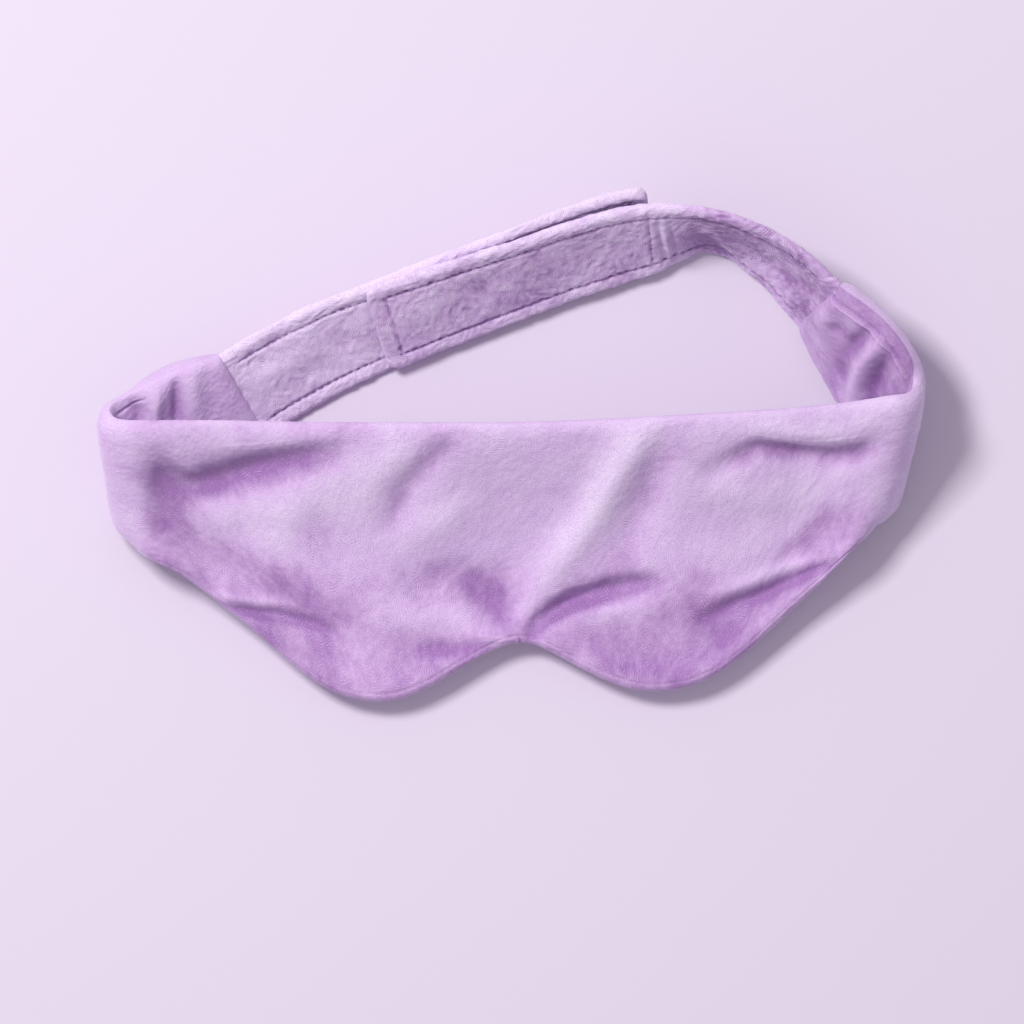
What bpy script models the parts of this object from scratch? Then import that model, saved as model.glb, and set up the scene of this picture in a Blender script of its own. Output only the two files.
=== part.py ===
"""Plush sleep mask: a padded two-eye panel whose ends curl back into wings, and a
two-part strap that closes on itself with a hook-and-loop overlap.

The mask lies closed on a table: the lobes are flat on it and the band leans back.
+X is along the band, +Y away from the nose notch and +Z up from the table.
Lists of stations are in millimetres; everything else is in metres.
"""
import math

import bmesh
import bpy
from mathutils import Vector

MM = 0.001

# Cloth and padding thicknesses
PLY = 1.0 * MM
GAP = 0.3 * MM
EDGE_HALF = 1.2 * MM
PAD_HALF = 4.8 * MM
WADDING = 2.4 * MM
BEAD_LAYER = 1.8 * MM
PATCH = 0.8 * MM
THREAD_RADIUS = 0.35 * MM
CURL_PRESS = 0.4

# Strap, patches and stitching
STRAP_WIDTH = 38.0 * MM
PATCH_WIDTH = 30.0 * MM
CLOSURE_SHIFT = 2.0 * MM
STITCH_INSET = 0.10

# Curled ends of the padded band
FOLD_TOP_RADIUS = 7.0 * MM
FOLD_LOW_RADIUS = 5.0 * MM
LEFT_FOLD_ANGLE = math.radians(158.0)
RIGHT_FOLD_ANGLE = math.radians(110.0)
LEFT_FOLD_AXIS = ((-128.5, 11.5, 34.5), (-124.5, -28.0, 7.5))
RIGHT_FOLD_AXIS = ((126.0, 19.5, 32.5), (121.5, -24.0, 7.0))

# Part of the panel's height that lies flat, and how its slope grows above that
FRAME_CENTRE = (-1.25, 0.475, 0.0)
FLAT_SHARE = 0.28
RISE_POWER = 1.5

# Panel and wings: each station is a point of the top edge and one of the lower edge
LEFT_PANEL = (
    ((-25, 6.6, 38), (-16, -73, 3.2)),
    ((-50, 6.7, 38), (-38, -84, 3.2)),
    ((-72, 6.8, 38.3), (-62, -80, 3.2)),
    ((-92, 7.0, 38.8), (-85, -61.5, 3.9)),
    ((-107, 7.2, 39.4), (-103, -48.5, 6.2)),
    ((-118, 7.4, 39.9), (-115, -38.5, 9.0)),
)
CENTRE = ((2, 6.6, 38), (2, -65.5, 3.2))
RIGHT_PANEL = (
    ((28, 7.6, 38), (18, -72.5, 3.2)),
    ((52, 9.0, 38), (40, -81.5, 3.2)),
    ((74, 10.2, 38), (64, -77.5, 3.2)),
    ((92, 11.3, 38), (85, -60.5, 3.9)),
    ((105, 12.6, 38), (100, -45.0, 6.0)),
    ((115, 14.0, 38.2), (111, -33.5, 8.8)),
)
LEFT_WING = (
    ((-126.2, 17.8, 28.7), (-121.3, -22.5, 3.0)),
    ((-121.5, 20.5, 28.5), (-116.0, -18.5, 2.6)),
    ((-113.0, 24.5, 27.3), (-106.0, -10.5, 2.0)),
    ((-105.5, 27.3, 26.0), (-95.5, -4.3, 1.7)),
)
RIGHT_WING = (
    ((133.4, 24.2, 31.6), (125.0, -18.0, 4.4)),
    ((132.3, 29.2, 32.4), (120.8, -8.5, 3.1)),
    ((128.6, 35.2, 33.4), (114.5, 3.0, 2.2)),
    ((123.5, 41.2, 34.2), (108.0, 14.5, 1.8)),
    ((116.5, 47.0, 34.7), (101.5, 27.0, 1.7)),
)

# Strap parts: x and y of the top edge, height of the lower edge, lean from the table
RIGHT_STRAP = (
    (108.5, 52.5, 1.6, 61), (99.5, 61.5, 1.5, 62), (89, 68.5, 1.5, 66),
    (77, 74.0, 1.5, 69), (65, 77.5, 1.6, 68), (55, 79.0, 2.0, 61), (45, 79.3, 3.0, 54),
)
CLOSURE_TAB = (
    (31, 77.0, 3.2, 51), (14, 72.0, 3.3, 50), (-3, 66.3, 3.4, 48.5),
    (-20, 61.0, 3.5, 46), (-36, 56.0, 3.7, 43), (-50.5, 51.3, 4.0, 40),
)
LEFT_STRAP_START = ((-98.5, 29.5, 1.6, 34.5), (-85.0, 37.5, 1.4, 35), (-68.0, 46.0, 1.4, 37))

# Colours (linear) of the cloth, the fillings and the fastener
LILAC = (0.52, 0.33, 0.66, 1.0)
SOFT_LILAC = (0.56, 0.38, 0.70, 1.0)
WHITE = (0.80, 0.80, 0.78, 1.0)
CALICO = (0.72, 0.66, 0.55, 1.0)
FASTENER = (0.46, 0.30, 0.60, 1.0)
THREAD = (0.45, 0.28, 0.58, 1.0)


def clear_scene():
    """Removes what the scene holds."""
    for thing in list(bpy.data.objects):
        bpy.data.objects.remove(thing, do_unlink=True)


def material(name, colour, roughness):
    """A cloth or thread material."""
    made = bpy.data.materials.new(name)
    made.use_nodes = True
    shader = made.node_tree.nodes["Principled BSDF"]
    shader.inputs["Base Color"].default_value = colour
    shader.inputs["Roughness"].default_value = roughness
    shader.inputs["Metallic"].default_value = 0.0
    made.diffuse_color = colour
    return made


def spline(points, place):
    """Point at place (a station number) on the smooth curve through the points."""
    last = len(points) - 1
    place = min(max(place, 0.0), float(last))
    first = min(int(place), last - 1)
    part = place - first
    p1 = points[first]
    p2 = points[first + 1]
    p0 = points[first - 1] if first > 0 else p1 * 2 - p2
    p3 = points[first + 2] if first + 2 <= last else p2 * 2 - p1
    linear = (p2 - p0) * part
    square = (p0 * 2 - p1 * 5 + p2 * 4 - p3) * part ** 2
    cube = (p1 * 3 - p0 - p2 * 3 + p3) * part ** 3
    return (p1 * 2 + linear + square + cube) * 0.5


def smooth_step(value):
    """0 below 0, 1 above 1 and an even ease between them."""
    value = min(max(value, 0.0), 1.0)
    return value * value * (3.0 - 2.0 * value)


class Band:
    """A strip of cloth between a top edge and a lower edge, read station by station."""

    def __init__(self, tops, lows, flat_centre=None):
        self.tops = tops
        self.lows = lows
        self.flat_centre = flat_centre
        self.last = len(tops) - 1

    def rise(self, place, across):
        """How far up its slope a point is: straight at the ends, flat-bottomed mid-panel."""
        if self.flat_centre is None:
            return across
        share = smooth_step((7.0 - abs(place - self.flat_centre)) / 3.0)
        bent = (max(0.0, across - FLAT_SHARE) / (1.0 - FLAT_SHARE)) ** RISE_POWER
        return across + share * (bent - across)

    def middle(self, place, across):
        """Point of the middle surface."""
        low = spline(self.lows, place)
        top = spline(self.tops, place)
        point = low.lerp(top, across)
        point.z = low.z + (top.z - low.z) * self.rise(place, across)
        return point

    def normal(self, place, across):
        """Direction of the outer face."""
        step = 0.02
        along = self.middle(place + step, across) - self.middle(place - step, across)
        up = self.middle(place, across + step) - self.middle(place, across - step)
        return along.cross(up).normalized()

    def point(self, place, across, offset):
        """Point at a distance from the middle surface, positive on the outer side."""
        made = self.middle(place, across)
        if offset:
            made = made + self.normal(place, across) * offset
        return made

    def ruling(self, place):
        """Direction from the lower edge to the top edge."""
        return (spline(self.tops, place) - spline(self.lows, place)).normalized()


def outward(band, place):
    """Direction of a strap's outer face at mid-width."""
    return band.normal(place, 0.5)


def placed(point):
    """A listed point in metres, from the frame's origin under the middle of the mask."""
    return (Vector(point) - Vector(FRAME_CENTRE)) * MM


def fold_stations(axis, outward, total_angle):
    """Stations round a curled end, from where the panel enters the curl, in four steps."""
    top = placed(axis[0])
    low = placed(axis[1])
    ruling = (top - low).normalized()
    side = Vector((outward, 0.0, 0.0))
    side = (side - ruling * side.dot(ruling)).normalized()
    front = side.cross(ruling) * outward
    made = []
    for step in range(5):
        angle = total_angle * step / 4.0
        ray = front * math.cos(angle) + side * math.sin(angle)
        made.append((top + ray * FOLD_TOP_RADIUS, low + ray * FOLD_LOW_RADIUS))
    return made


def strap_stations(rows, inward):
    """Top and lower edge points of a leaning strap; inward is the side it leans to."""
    plan = [placed((row[0], row[1], 0.0)) for row in rows]
    made = []
    for index, row in enumerate(rows):
        before = plan[max(index - 1, 0)]
        after = plan[min(index + 1, len(plan) - 1)]
        along = (after - before).normalized()
        across = Vector((0.0, 0.0, 1.0)).cross(along) * inward
        lean = math.radians(row[3])
        low = plan[index] + across * STRAP_WIDTH * math.cos(lean)
        low.z = row[2] * MM
        top = plan[index].copy()
        top.z = low.z + STRAP_WIDTH * math.sin(lean)
        made.append((top, low))
    return made


def outer_neighbour(band, start):
    """Stations of the strap part that lies behind the closure tab, from its tip on."""
    reach = 2.0 * (PLY + GAP * 0.5) + 3.0 * GAP + 2.0 * PATCH
    made = []
    for index in range(start, band.last + 1):
        shift = band.ruling(index) * CLOSURE_SHIFT + outward(band, index) * reach
        made.append((band.tops[index] + shift, band.lows[index] + shift))
    return made


def metres(rows):
    """Stations given in millimetres as pairs of vectors in metres."""
    return [(placed(top), placed(low)) for top, low in rows]


def band_from(stations, flat_centre=None):
    """A band through pairs of edge points."""
    return Band([pair[0] for pair in stations], [pair[1] for pair in stations], flat_centre)


def grid_object(name, columns, rows, place_point, look, thickness, joint):
    """A sheet: a grid laid on a surface and given its thickness both ways."""
    mesh = bpy.data.meshes.new(name)
    cloth = bmesh.new()
    bmesh.ops.create_grid(cloth, x_segments=columns, y_segments=rows, size=0.5)
    home = joint_place(joint)
    for vertex in cloth.verts:
        vertex.co = place_point(vertex.co.x + 0.5, vertex.co.y + 0.5) - home
    cloth.to_mesh(mesh)
    cloth.free()
    mesh.materials.append(look)
    made = bpy.data.objects.new(name, mesh)
    made.parent = joint
    PARTS.objects.link(made)
    solid = made.modifiers.new("Thickness", "SOLIDIFY")
    solid.thickness = thickness
    solid.offset = 0.0
    return made


def joint_empty(name, place, parent):
    """An empty on a joint's axis; the pieces that turn there are parented to it."""
    made = bpy.data.objects.new(name, None)
    made.empty_display_size = 0.01
    made.parent = parent
    made.location = place - joint_place(parent)
    PARTS.objects.link(made)
    JOINT_PLACES[name] = place
    return made


def joint_place(joint):
    """World place of a joint's empty."""
    return JOINT_PLACES[joint.name] if joint else Vector((0.0, 0.0, 0.0))


def pad_half(place, across):
    """Half thickness of the padded band: thin at its seams and full between them."""
    round_across = 1.0 - abs(2.0 * across - 1.0) ** 6
    end = min(place, PAD_BAND.last - place)
    round_end = 1.0 - (1.0 - min(end, 1.0)) ** 3
    return EDGE_HALF + (PAD_HALF - EDGE_HALF) * round_across * round_end


def skin_half(place, across):
    """Half thickness on the skin side, where the padding is pressed flat inside a curl."""
    away = min(abs(place - LEFT_HINGE_IN + 1.0), abs(place - RIGHT_HINGE_IN - 1.0))
    pressed = smooth_step((4.0 - away) / 2.0)
    return pad_half(place, across) * (1.0 - CURL_PRESS * pressed)


def pad_cloth(name, start, stop, side, columns, rows, look, joint):
    """One ply of the padded band's cover, on the outer (1) or skin side (-1)."""
    def place_point(along, across):
        place = start + (stop - start) * along
        half = pad_half(place, across) if side > 0 else skin_half(place, across)
        offset = side * (max(half, EDGE_HALF) - PLY * 0.5)
        point = PAD_BAND.point(place, across, offset)
        point.z = max(point.z, PLY * 0.5)
        return point
    return grid_object(name, columns, rows, place_point, look, PLY, joint)


def inner_sheet(name, start, stop, low, high, offset, thickness, size, look, joint, beneath=0.0):
    """A layer inside the padded band, between two heights across it, above what is beneath."""
    def place_point(along, across):
        place = start + (stop - start) * along
        point = PAD_BAND.point(place, low + (high - low) * across, offset)
        point.z = max(point.z, PLY + GAP + beneath + thickness * 0.5)
        return point
    return grid_object(name, size[0], size[1], place_point, look, thickness, joint)


def strap_sheet(name, band, start, stop, offset, thickness, width, look, joint):
    """A layer of a strap part, centred across its width."""
    margin = (1.0 - width / STRAP_WIDTH) * 0.5

    def place_point(along, across):
        place = start + (stop - start) * along
        return band.point(place, margin + (1.0 - 2.0 * margin) * across, offset)
    columns = max(2, round(abs(stop - start) * 3))
    return grid_object(name, columns, 2, place_point, look, thickness, joint)


def strap_plies(prefix, band, start, stop, joint):
    """The two plies of a strap part, sewn back to back."""
    offset = (PLY + GAP) * 0.5
    outer = material(prefix + "_outer_plush", LILAC, 0.85)
    inner = material(prefix + "_skin_plush", LILAC, 0.85)
    strap_sheet(prefix + "_outer_ply", band, start, stop, offset, PLY, STRAP_WIDTH, outer, joint)
    strap_sheet(prefix + "_skin_ply", band, start, stop, -offset, PLY, STRAP_WIDTH, inner, joint)


def thread_object(name, points, closed, joint):
    """A sewn line of thread laid just above the cloth, as a fine tube."""
    curve = bpy.data.curves.new(name, "CURVE")
    curve.dimensions = "3D"
    curve.bevel_depth = THREAD_RADIUS
    curve.bevel_resolution = 1
    curve.use_fill_caps = not closed
    line = curve.splines.new("POLY")
    line.points.add(len(points) - 1)
    home = joint_place(joint)
    for index, point in enumerate(points):
        local = point - home
        line.points[index].co = (local.x, local.y, local.z, 1.0)
    line.use_cyclic_u = closed
    curve.materials.append(material(name + "_thread", THREAD, 0.7))
    made = bpy.data.objects.new(name, curve)
    made.parent = joint
    PARTS.objects.link(made)
    return made


def line_on(surface, start, stop, count):
    """Points from one (place, across) to another on a surface function."""
    made = []
    for index in range(count):
        part = index / (count - 1)
        place = start[0] + (stop[0] - start[0]) * part
        across = start[1] + (stop[1] - start[1]) * part
        made.append(surface(place, across))
    return made


def strap_face(band, offset):
    """Surface function at a distance from a strap's middle."""
    return lambda place, across: band.point(place, across, offset)


def wing_stations():
    """Stations of the whole padded band, from the left strap seam to the right one."""
    left_fold = fold_stations(LEFT_FOLD_AXIS, -1.0, LEFT_FOLD_ANGLE)
    right_fold = fold_stations(RIGHT_FOLD_AXIS, 1.0, RIGHT_FOLD_ANGLE)
    left = metres(LEFT_PANEL) + left_fold + metres(LEFT_WING) + [LEFT_SEAM]
    right = metres(RIGHT_PANEL) + right_fold + metres(RIGHT_WING) + [RIGHT_SEAM]
    return left[::-1] + metres([CENTRE]) + right


def build_panel():
    """The panel over the eyes: two cloth faces, wadding, bead pockets and the nose tack."""
    start = LEFT_HINGE_IN + SPLIT
    stop = RIGHT_HINGE_IN - SPLIT
    inside = LINING_SPLIT - SPLIT
    cover = material("panel_plush", LILAC, 0.85)
    lining = material("panel_lining_plush", SOFT_LILAC, 0.85)
    pad_cloth("front_cover", start, stop, 1, 32, 8, cover, None)
    pad_cloth("face_lining", start + inside, stop - inside, -1, 32, 14, lining, None)
    wadding = material("wadding_fibre", WHITE, 0.95)
    inner_sheet("wadding_sheet", start + 1.5, stop - 1.5, 0.14, 0.86, 1.5 * MM, WADDING,
                (18, 6), wadding, None, BEAD_LAYER + 3.0 * GAP)
    edges = (start + 3.0, CENTRE_PLACE - 2.6, CENTRE_PLACE, CENTRE_PLACE + 2.6, stop - 3.0)
    names = ("left_outer", "left_inner", "right_inner", "right_outer")
    for index, name in enumerate(names):
        look = material("bead_pocket_calico_" + name, CALICO, 0.9)
        inner_sheet("bead_pocket_" + name, edges[index] + 0.06, edges[index + 1] - 0.06,
                    0.16, 0.84, -1.6 * MM, BEAD_LAYER, (5, 5), look, None)
    above = EDGE_HALF + 4.0 * GAP + THREAD_RADIUS
    notch = [PAD_BAND.point(CENTRE_PLACE, 0.012 * step, above + 0.5 * MM * step)
             for step in range(4)]
    thread_object("nose_tack", notch, False, None)


def build_wing(side, hinge_in, hinge_out, seam, bend_joint, wing_joint):
    """A curled end: the bend between its two hinge lines, and the wing up to the seam."""
    way = 1.0 if seam > hinge_out else -1.0
    split = SPLIT * way
    looks = [material(side + name, LILAC, 0.85) for name in ("_bend_plush", "_wing_plush")]
    linings = [material(side + name, SOFT_LILAC, 0.85) for name in ("_bend_lining", "_wing_lining")]
    inside = LINING_SPLIT * way
    bend = (hinge_in + split, hinge_out - split)
    wing = (hinge_out + split, seam)
    bend_inside = (hinge_in + inside, hinge_out - inside)
    wing_inside = (hinge_out + inside, seam)
    pad_cloth(side + "_bend_cover", *bend, 1, 4, 6, looks[0], bend_joint)
    pad_cloth(side + "_bend_lining", *bend_inside, -1, 4, 6, linings[0], bend_joint)
    pad_cloth(side + "_wing_cover", *wing, 1, 8, 6, looks[1], wing_joint)
    pad_cloth(side + "_wing_lining", *wing_inside, -1, 8, 6, linings[1], wing_joint)
    wadding = material(side + "_wing_wadding_fibre", WHITE, 0.95)
    inner_sheet(side + "_wing_wadding", hinge_out + 1.2 * way, seam - 1.0 * way, 0.16, 0.84,
                0.8 * MM, WADDING, (4, 3), wadding, wing_joint)


def rectangle_on(surface, first, last, count):
    """Points round a rectangle of stitching, inset from a strap's edges."""
    low = STITCH_INSET
    high = 1.0 - STITCH_INSET
    made = line_on(surface, (first, high), (last, high), count)
    made += line_on(surface, (last, high), (last, low), 4)[1:]
    made += line_on(surface, (last, low), (first, low), count)[1:]
    made += line_on(surface, (first, low), (first, high), 4)[1:-1]
    return made


def build_left_strap(joint):
    """The strap part with the hook patch, which the closure tab lies on."""
    seam = LEFT_BAND.last - LEFT_START
    strap_plies("left_strap", LEFT_BAND, 0.0, seam, joint)
    patch_offset = -(PLY + GAP * 1.5 + PATCH * 0.5)
    look = material("hook_tape", FASTENER, 0.6)
    strap_sheet("hook_patch", LEFT_BAND, 0.4, HOOK_END, patch_offset, PATCH,
                PATCH_WIDTH * 0.9, look, joint)
    skin = strap_face(LEFT_BAND, -THREAD_OFFSET)
    low = STITCH_INSET
    high = 1.0 - STITCH_INSET
    points = line_on(skin, (seam - 0.3, high), (0.15, high), 16)
    points += line_on(skin, (0.15, high), (0.15, low), 4)[1:]
    points += line_on(skin, (0.15, low), (seam - 0.3, low), 16)[1:]
    thread_object("left_strap_stitching", points, False, joint)
    outer = strap_face(LEFT_BAND, THREAD_OFFSET)
    thread_object("hook_patch_stitching", rectangle_on(outer, 0.3, HOOK_END, 12), True, joint)


def build_right_strap(joint):
    """The strap part between the right wing and the closure tab."""
    strap_plies("right_strap", RIGHT_BAND, RIGHT_START, PEEL_PLACE - TAB_SPLIT, joint)
    face = strap_face(RIGHT_BAND, -THREAD_OFFSET)
    high = 1.0 - STITCH_INSET
    points = line_on(face, (0.3, high), (PEEL_PLACE - 0.3, high), 16)
    thread_object("right_strap_stitching", points, False, joint)


def build_tab(joint):
    """The closure tab with its loop patch and the stitching that holds the patch."""
    stop = RIGHT_BAND.last
    strap_plies("closure_tab", RIGHT_BAND, PEEL_PLACE + TAB_SPLIT, stop, joint)
    look = material("loop_tape", FASTENER, 0.8)
    offset = PLY + GAP * 1.5 + PATCH * 0.5
    start = PEEL_PLACE + 0.25
    strap_sheet("loop_patch", RIGHT_BAND, start, stop - 0.3, offset, PATCH, PATCH_WIDTH, look, joint)
    face = strap_face(RIGHT_BAND, -THREAD_OFFSET)
    points = rectangle_on(face, PEEL_PLACE + 0.3, stop - 0.35, 14)
    thread_object("patch_stitching", points, True, joint)


def hinge_on_pad(name, place, parent):
    """Joint on the outer face of a curled end."""
    return joint_empty(name, PAD_BAND.point(place, 0.5, PAD_HALF), parent)


def build():
    """Builds every piece on its joint."""
    left_bend = hinge_on_pad("left_bend_joint", LEFT_HINGE_IN, None)
    left_wing = hinge_on_pad("left_wing_joint", LEFT_HINGE_OUT, left_bend)
    right_bend = hinge_on_pad("right_bend_joint", RIGHT_HINGE_IN, None)
    right_wing = hinge_on_pad("right_wing_joint", RIGHT_HINGE_OUT, right_bend)
    peel_place = RIGHT_BAND.point(PEEL_PLACE, 0.5, -EDGE_HALF)
    tab = joint_empty("closure_tab_joint", peel_place, right_wing)
    build_panel()
    build_wing("left", LEFT_HINGE_IN, LEFT_HINGE_OUT, 0.0, left_bend, left_wing)
    build_wing("right", RIGHT_HINGE_IN, RIGHT_HINGE_OUT, PAD_BAND.last, right_bend, right_wing)
    build_left_strap(left_wing)
    build_right_strap(right_wing)
    build_tab(tab)


clear_scene()
PARTS = bpy.data.collections.new("sleep_mask")
bpy.context.scene.collection.children.link(PARTS)
JOINT_PLACES = {}

RIGHT_ROWS = strap_stations(RIGHT_STRAP + CLOSURE_TAB, 1.0)
LEFT_ROWS = strap_stations(LEFT_STRAP_START, -1.0)
RIGHT_SEAM = RIGHT_ROWS[0]
LEFT_SEAM = LEFT_ROWS[0]

# Station numbers along the padded band: the centre, the two hinge lines of each curl
CENTRE_PLACE = len(LEFT_PANEL) + 5 + len(LEFT_WING) + 1
PAD_BAND = band_from(wing_stations(), CENTRE_PLACE)
LEFT_HINGE_IN = CENTRE_PLACE - len(LEFT_PANEL) - 2
LEFT_HINGE_OUT = LEFT_HINGE_IN - 2
RIGHT_HINGE_IN = CENTRE_PLACE + len(RIGHT_PANEL) + 2
RIGHT_HINGE_OUT = RIGHT_HINGE_IN + 2
SPLIT = 0.04
LINING_SPLIT = 0.25

# Station numbers along the right strap, whose last stretch is the closure tab
RIGHT_BAND = band_from(RIGHT_ROWS)
PEEL_PLACE = len(RIGHT_STRAP) - 1
LEFT_BAND = band_from(outer_neighbour(RIGHT_BAND, PEEL_PLACE) + LEFT_ROWS[::-1])
HOOK_END = 5.6
THREAD_OFFSET = PLY + GAP * 2.0 + THREAD_RADIUS
RIGHT_START = 0.03
LEFT_START = 0.03
TAB_SPLIT = 0.015

build()
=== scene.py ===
"""Plush sleep mask, finished: padded panel and wings, strap, closure, stitching and stage."""
import math

import bpy
import numpy as np
from bpy.props import FloatProperty, FloatVectorProperty, PointerProperty
from bpy.types import Operator, Panel, PropertyGroup
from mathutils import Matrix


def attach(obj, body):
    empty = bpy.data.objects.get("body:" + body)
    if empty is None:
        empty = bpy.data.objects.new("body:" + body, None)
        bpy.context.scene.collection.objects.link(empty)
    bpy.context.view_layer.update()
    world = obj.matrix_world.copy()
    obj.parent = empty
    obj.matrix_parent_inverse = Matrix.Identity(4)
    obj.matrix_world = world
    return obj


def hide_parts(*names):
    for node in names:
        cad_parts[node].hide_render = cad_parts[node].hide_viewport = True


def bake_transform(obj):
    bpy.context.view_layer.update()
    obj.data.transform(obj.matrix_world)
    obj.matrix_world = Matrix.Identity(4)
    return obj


bl_info = {
    "name": "Plush sleep mask",
    "version": (1, 0, 0),
    "blender": (4, 5, 0),
    "location": "3D View > Sidebar > Sleep mask",
    "description": "Builds the cloth, padding, strap and closure of a plush sleep mask",
    "category": "Object",
}

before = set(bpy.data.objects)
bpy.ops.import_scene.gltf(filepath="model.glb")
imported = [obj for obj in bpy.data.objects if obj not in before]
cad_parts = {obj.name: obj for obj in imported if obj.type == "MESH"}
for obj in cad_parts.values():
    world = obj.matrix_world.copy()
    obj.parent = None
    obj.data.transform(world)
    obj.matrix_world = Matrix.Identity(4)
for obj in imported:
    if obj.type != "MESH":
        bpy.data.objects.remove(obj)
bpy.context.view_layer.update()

MM = 0.001
FRAME_CENTRE = np.array((-1.25, 0.475, 0.0))

# Stations of the padded band in millimetres: a point of the top edge, one of the lower edge
LEFT_PANEL = (
    ((-25, 6.6, 38), (-16, -73, 3.2)),
    ((-50, 6.7, 38), (-38, -84, 3.2)),
    ((-72, 6.8, 38.3), (-62, -80, 3.2)),
    ((-92, 7.0, 38.8), (-85, -61.5, 3.9)),
    ((-107, 7.2, 39.4), (-103, -48.5, 6.2)),
    ((-118, 7.4, 39.9), (-115, -38.5, 9.0)),
)
CENTRE = ((2, 6.6, 38), (2, -65.5, 3.2))
RIGHT_PANEL = (
    ((28, 7.6, 38), (18, -72.5, 3.2)),
    ((52, 9.0, 38), (40, -81.5, 3.2)),
    ((74, 10.2, 38), (64, -77.5, 3.2)),
    ((92, 11.3, 38), (85, -60.5, 3.9)),
    ((105, 12.6, 38), (100, -45.0, 6.0)),
    ((115, 14.0, 38.2), (111, -33.5, 8.8)),
)
LEFT_WING = (
    ((-126.2, 17.8, 28.7), (-121.3, -22.5, 3.0)),
    ((-121.5, 20.5, 28.5), (-116.0, -18.5, 2.6)),
    ((-113.0, 24.5, 27.3), (-106.0, -10.5, 2.0)),
    ((-105.5, 27.3, 26.0), (-95.5, -4.3, 1.7)),
)
RIGHT_WING = (
    ((133.4, 24.2, 31.6), (125.0, -18.0, 4.4)),
    ((132.3, 29.2, 32.4), (120.8, -8.5, 3.1)),
    ((128.6, 35.2, 33.4), (114.5, 3.0, 2.2)),
    ((123.5, 41.2, 34.2), (108.0, 14.5, 1.8)),
    ((116.5, 47.0, 34.7), (101.5, 27.0, 1.7)),
)
LEFT_FOLD_AXIS = ((-128.5, 11.5, 34.5), (-124.5, -28.0, 7.5))
RIGHT_FOLD_AXIS = ((126.0, 19.5, 32.5), (121.5, -24.0, 7.0))
LEFT_FOLD_ANGLE = math.radians(158.0)
RIGHT_FOLD_ANGLE = math.radians(110.0)
FOLD_TOP_RADIUS = 7.0
FOLD_LOW_RADIUS = 5.0
FLAT_SHARE = 0.28
RISE_POWER = 1.5

# Strap parts: x and y of the top edge, height of the lower edge, lean from the table
RIGHT_STRAP = (
    (108.5, 52.5, 1.6, 61), (99.5, 61.5, 1.5, 62), (89, 68.5, 1.5, 66),
    (77, 74.0, 1.5, 69), (65, 77.5, 1.6, 68), (55, 79.0, 2.0, 61), (45, 79.3, 3.0, 54),
)
CLOSURE_TAB = (
    (31, 77.0, 3.2, 51), (14, 72.0, 3.3, 50), (-3, 66.3, 3.4, 48.5),
    (-20, 61.0, 3.5, 46), (-36, 56.0, 3.7, 43), (-50.5, 51.3, 4.0, 40),
)
LEFT_STRAP_START = ((-98.5, 29.5, 1.6, 34.5), (-85.0, 37.5, 1.4, 35), (-68.0, 46.0, 1.4, 37))
STRAP_WIDTH = 38.0
# How far the outer strap stands off the closure tab, and how far up it lies, tip first
CLOSURE_REACH = (5.7, 5.2, 4.8, 4.3, 3.9, 3.5, 3.2)
CLOSURE_SLIDE = (2.9, 2.5, 2.0, 1.3, 0.6, -0.2, -1.0)
PEEL_PLACE = len(RIGHT_STRAP) - 1


class MaskSizes(PropertyGroup):
    """Sizes that a maker would change, in metres."""
    grid: FloatProperty(name="Cloth grid", description="Spacing of the cloth's surface points",
                        default=0.00070, unit="LENGTH")
    front_crown: FloatProperty(name="Front crown", description="How far the padding swells outwards",
                               default=0.0050, unit="LENGTH")
    eye_dome: FloatProperty(name="Eye dome", description="Extra swell of the padding over each eye",
                            default=0.0036, unit="LENGTH")
    skin_crown: FloatProperty(name="Skin crown", description="How far it swells towards the face",
                              default=0.0042, unit="LENGTH")
    strap_half: FloatProperty(name="Strap half thickness", description="Half of the strap's thickness",
                              default=0.0015, unit="LENGTH")
    stitch_inset: FloatProperty(name="Stitch inset", description="From a strap's edge to its stitching",
                                default=0.0060, unit="LENGTH")
    groove: FloatProperty(name="Stitch groove", description="How deep the stitches pull the cloth in",
                          default=0.0009, unit="LENGTH")
    stitch_pitch: FloatProperty(name="Stitch pitch", description="From one stitch to the next",
                                default=0.0028, unit="LENGTH")
    stitch_length: FloatProperty(name="Stitch length", description="Visible length of a stitch",
                                 default=0.0019, unit="LENGTH")
    thread: FloatProperty(name="Thread radius", description="Radius of the sewing thread",
                          default=0.00022, unit="LENGTH")
    tuft: FloatProperty(name="Tuft height", description="Height of the pile's tufts on the straps",
                        default=0.00024, unit="LENGTH")
    pile: FloatProperty(name="Pile unevenness", description="Height of the tufts in the plush",
                        default=0.00016, unit="LENGTH")


class MaskColours(PropertyGroup):
    """Colours of the cloth, with its lighter and darker pile colours that also serve as painted highlight
    and painted shade, and the stage.
    """
    plush: FloatVectorProperty(name="Plush", description="Colour of the pile from above",
                               default=(0.640, 0.450, 0.740), subtype="COLOR", size=3)
    # Lighter pile colour: random lighter tone, and painted highlight on ridges, tuft crests and strap edges
    plush_light_tone_and_highlight: FloatVectorProperty(name="Plush light tone and highlight", description="Pile that leans to the light",
                                     default=(0.800, 0.665, 0.885), subtype="COLOR", size=3)
    # Darker pile colour: random darker tone, and painted shade in folds, grooves, the lower lobes and
    # between tufts
    plush_dark_tone_and_shade: FloatVectorProperty(name="Plush dark tone and shade", description="Between the tufts",
                                    default=(0.330, 0.165, 0.420), subtype="COLOR", size=3)
    thread: FloatVectorProperty(name="Thread", description="Colour of the sewing thread",
                                default=(0.30, 0.17, 0.42), subtype="COLOR", size=3)
    floor: FloatVectorProperty(name="Floor", description="Colour of the table",
                               default=(0.698, 0.628, 0.750), subtype="COLOR", size=3)


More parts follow.
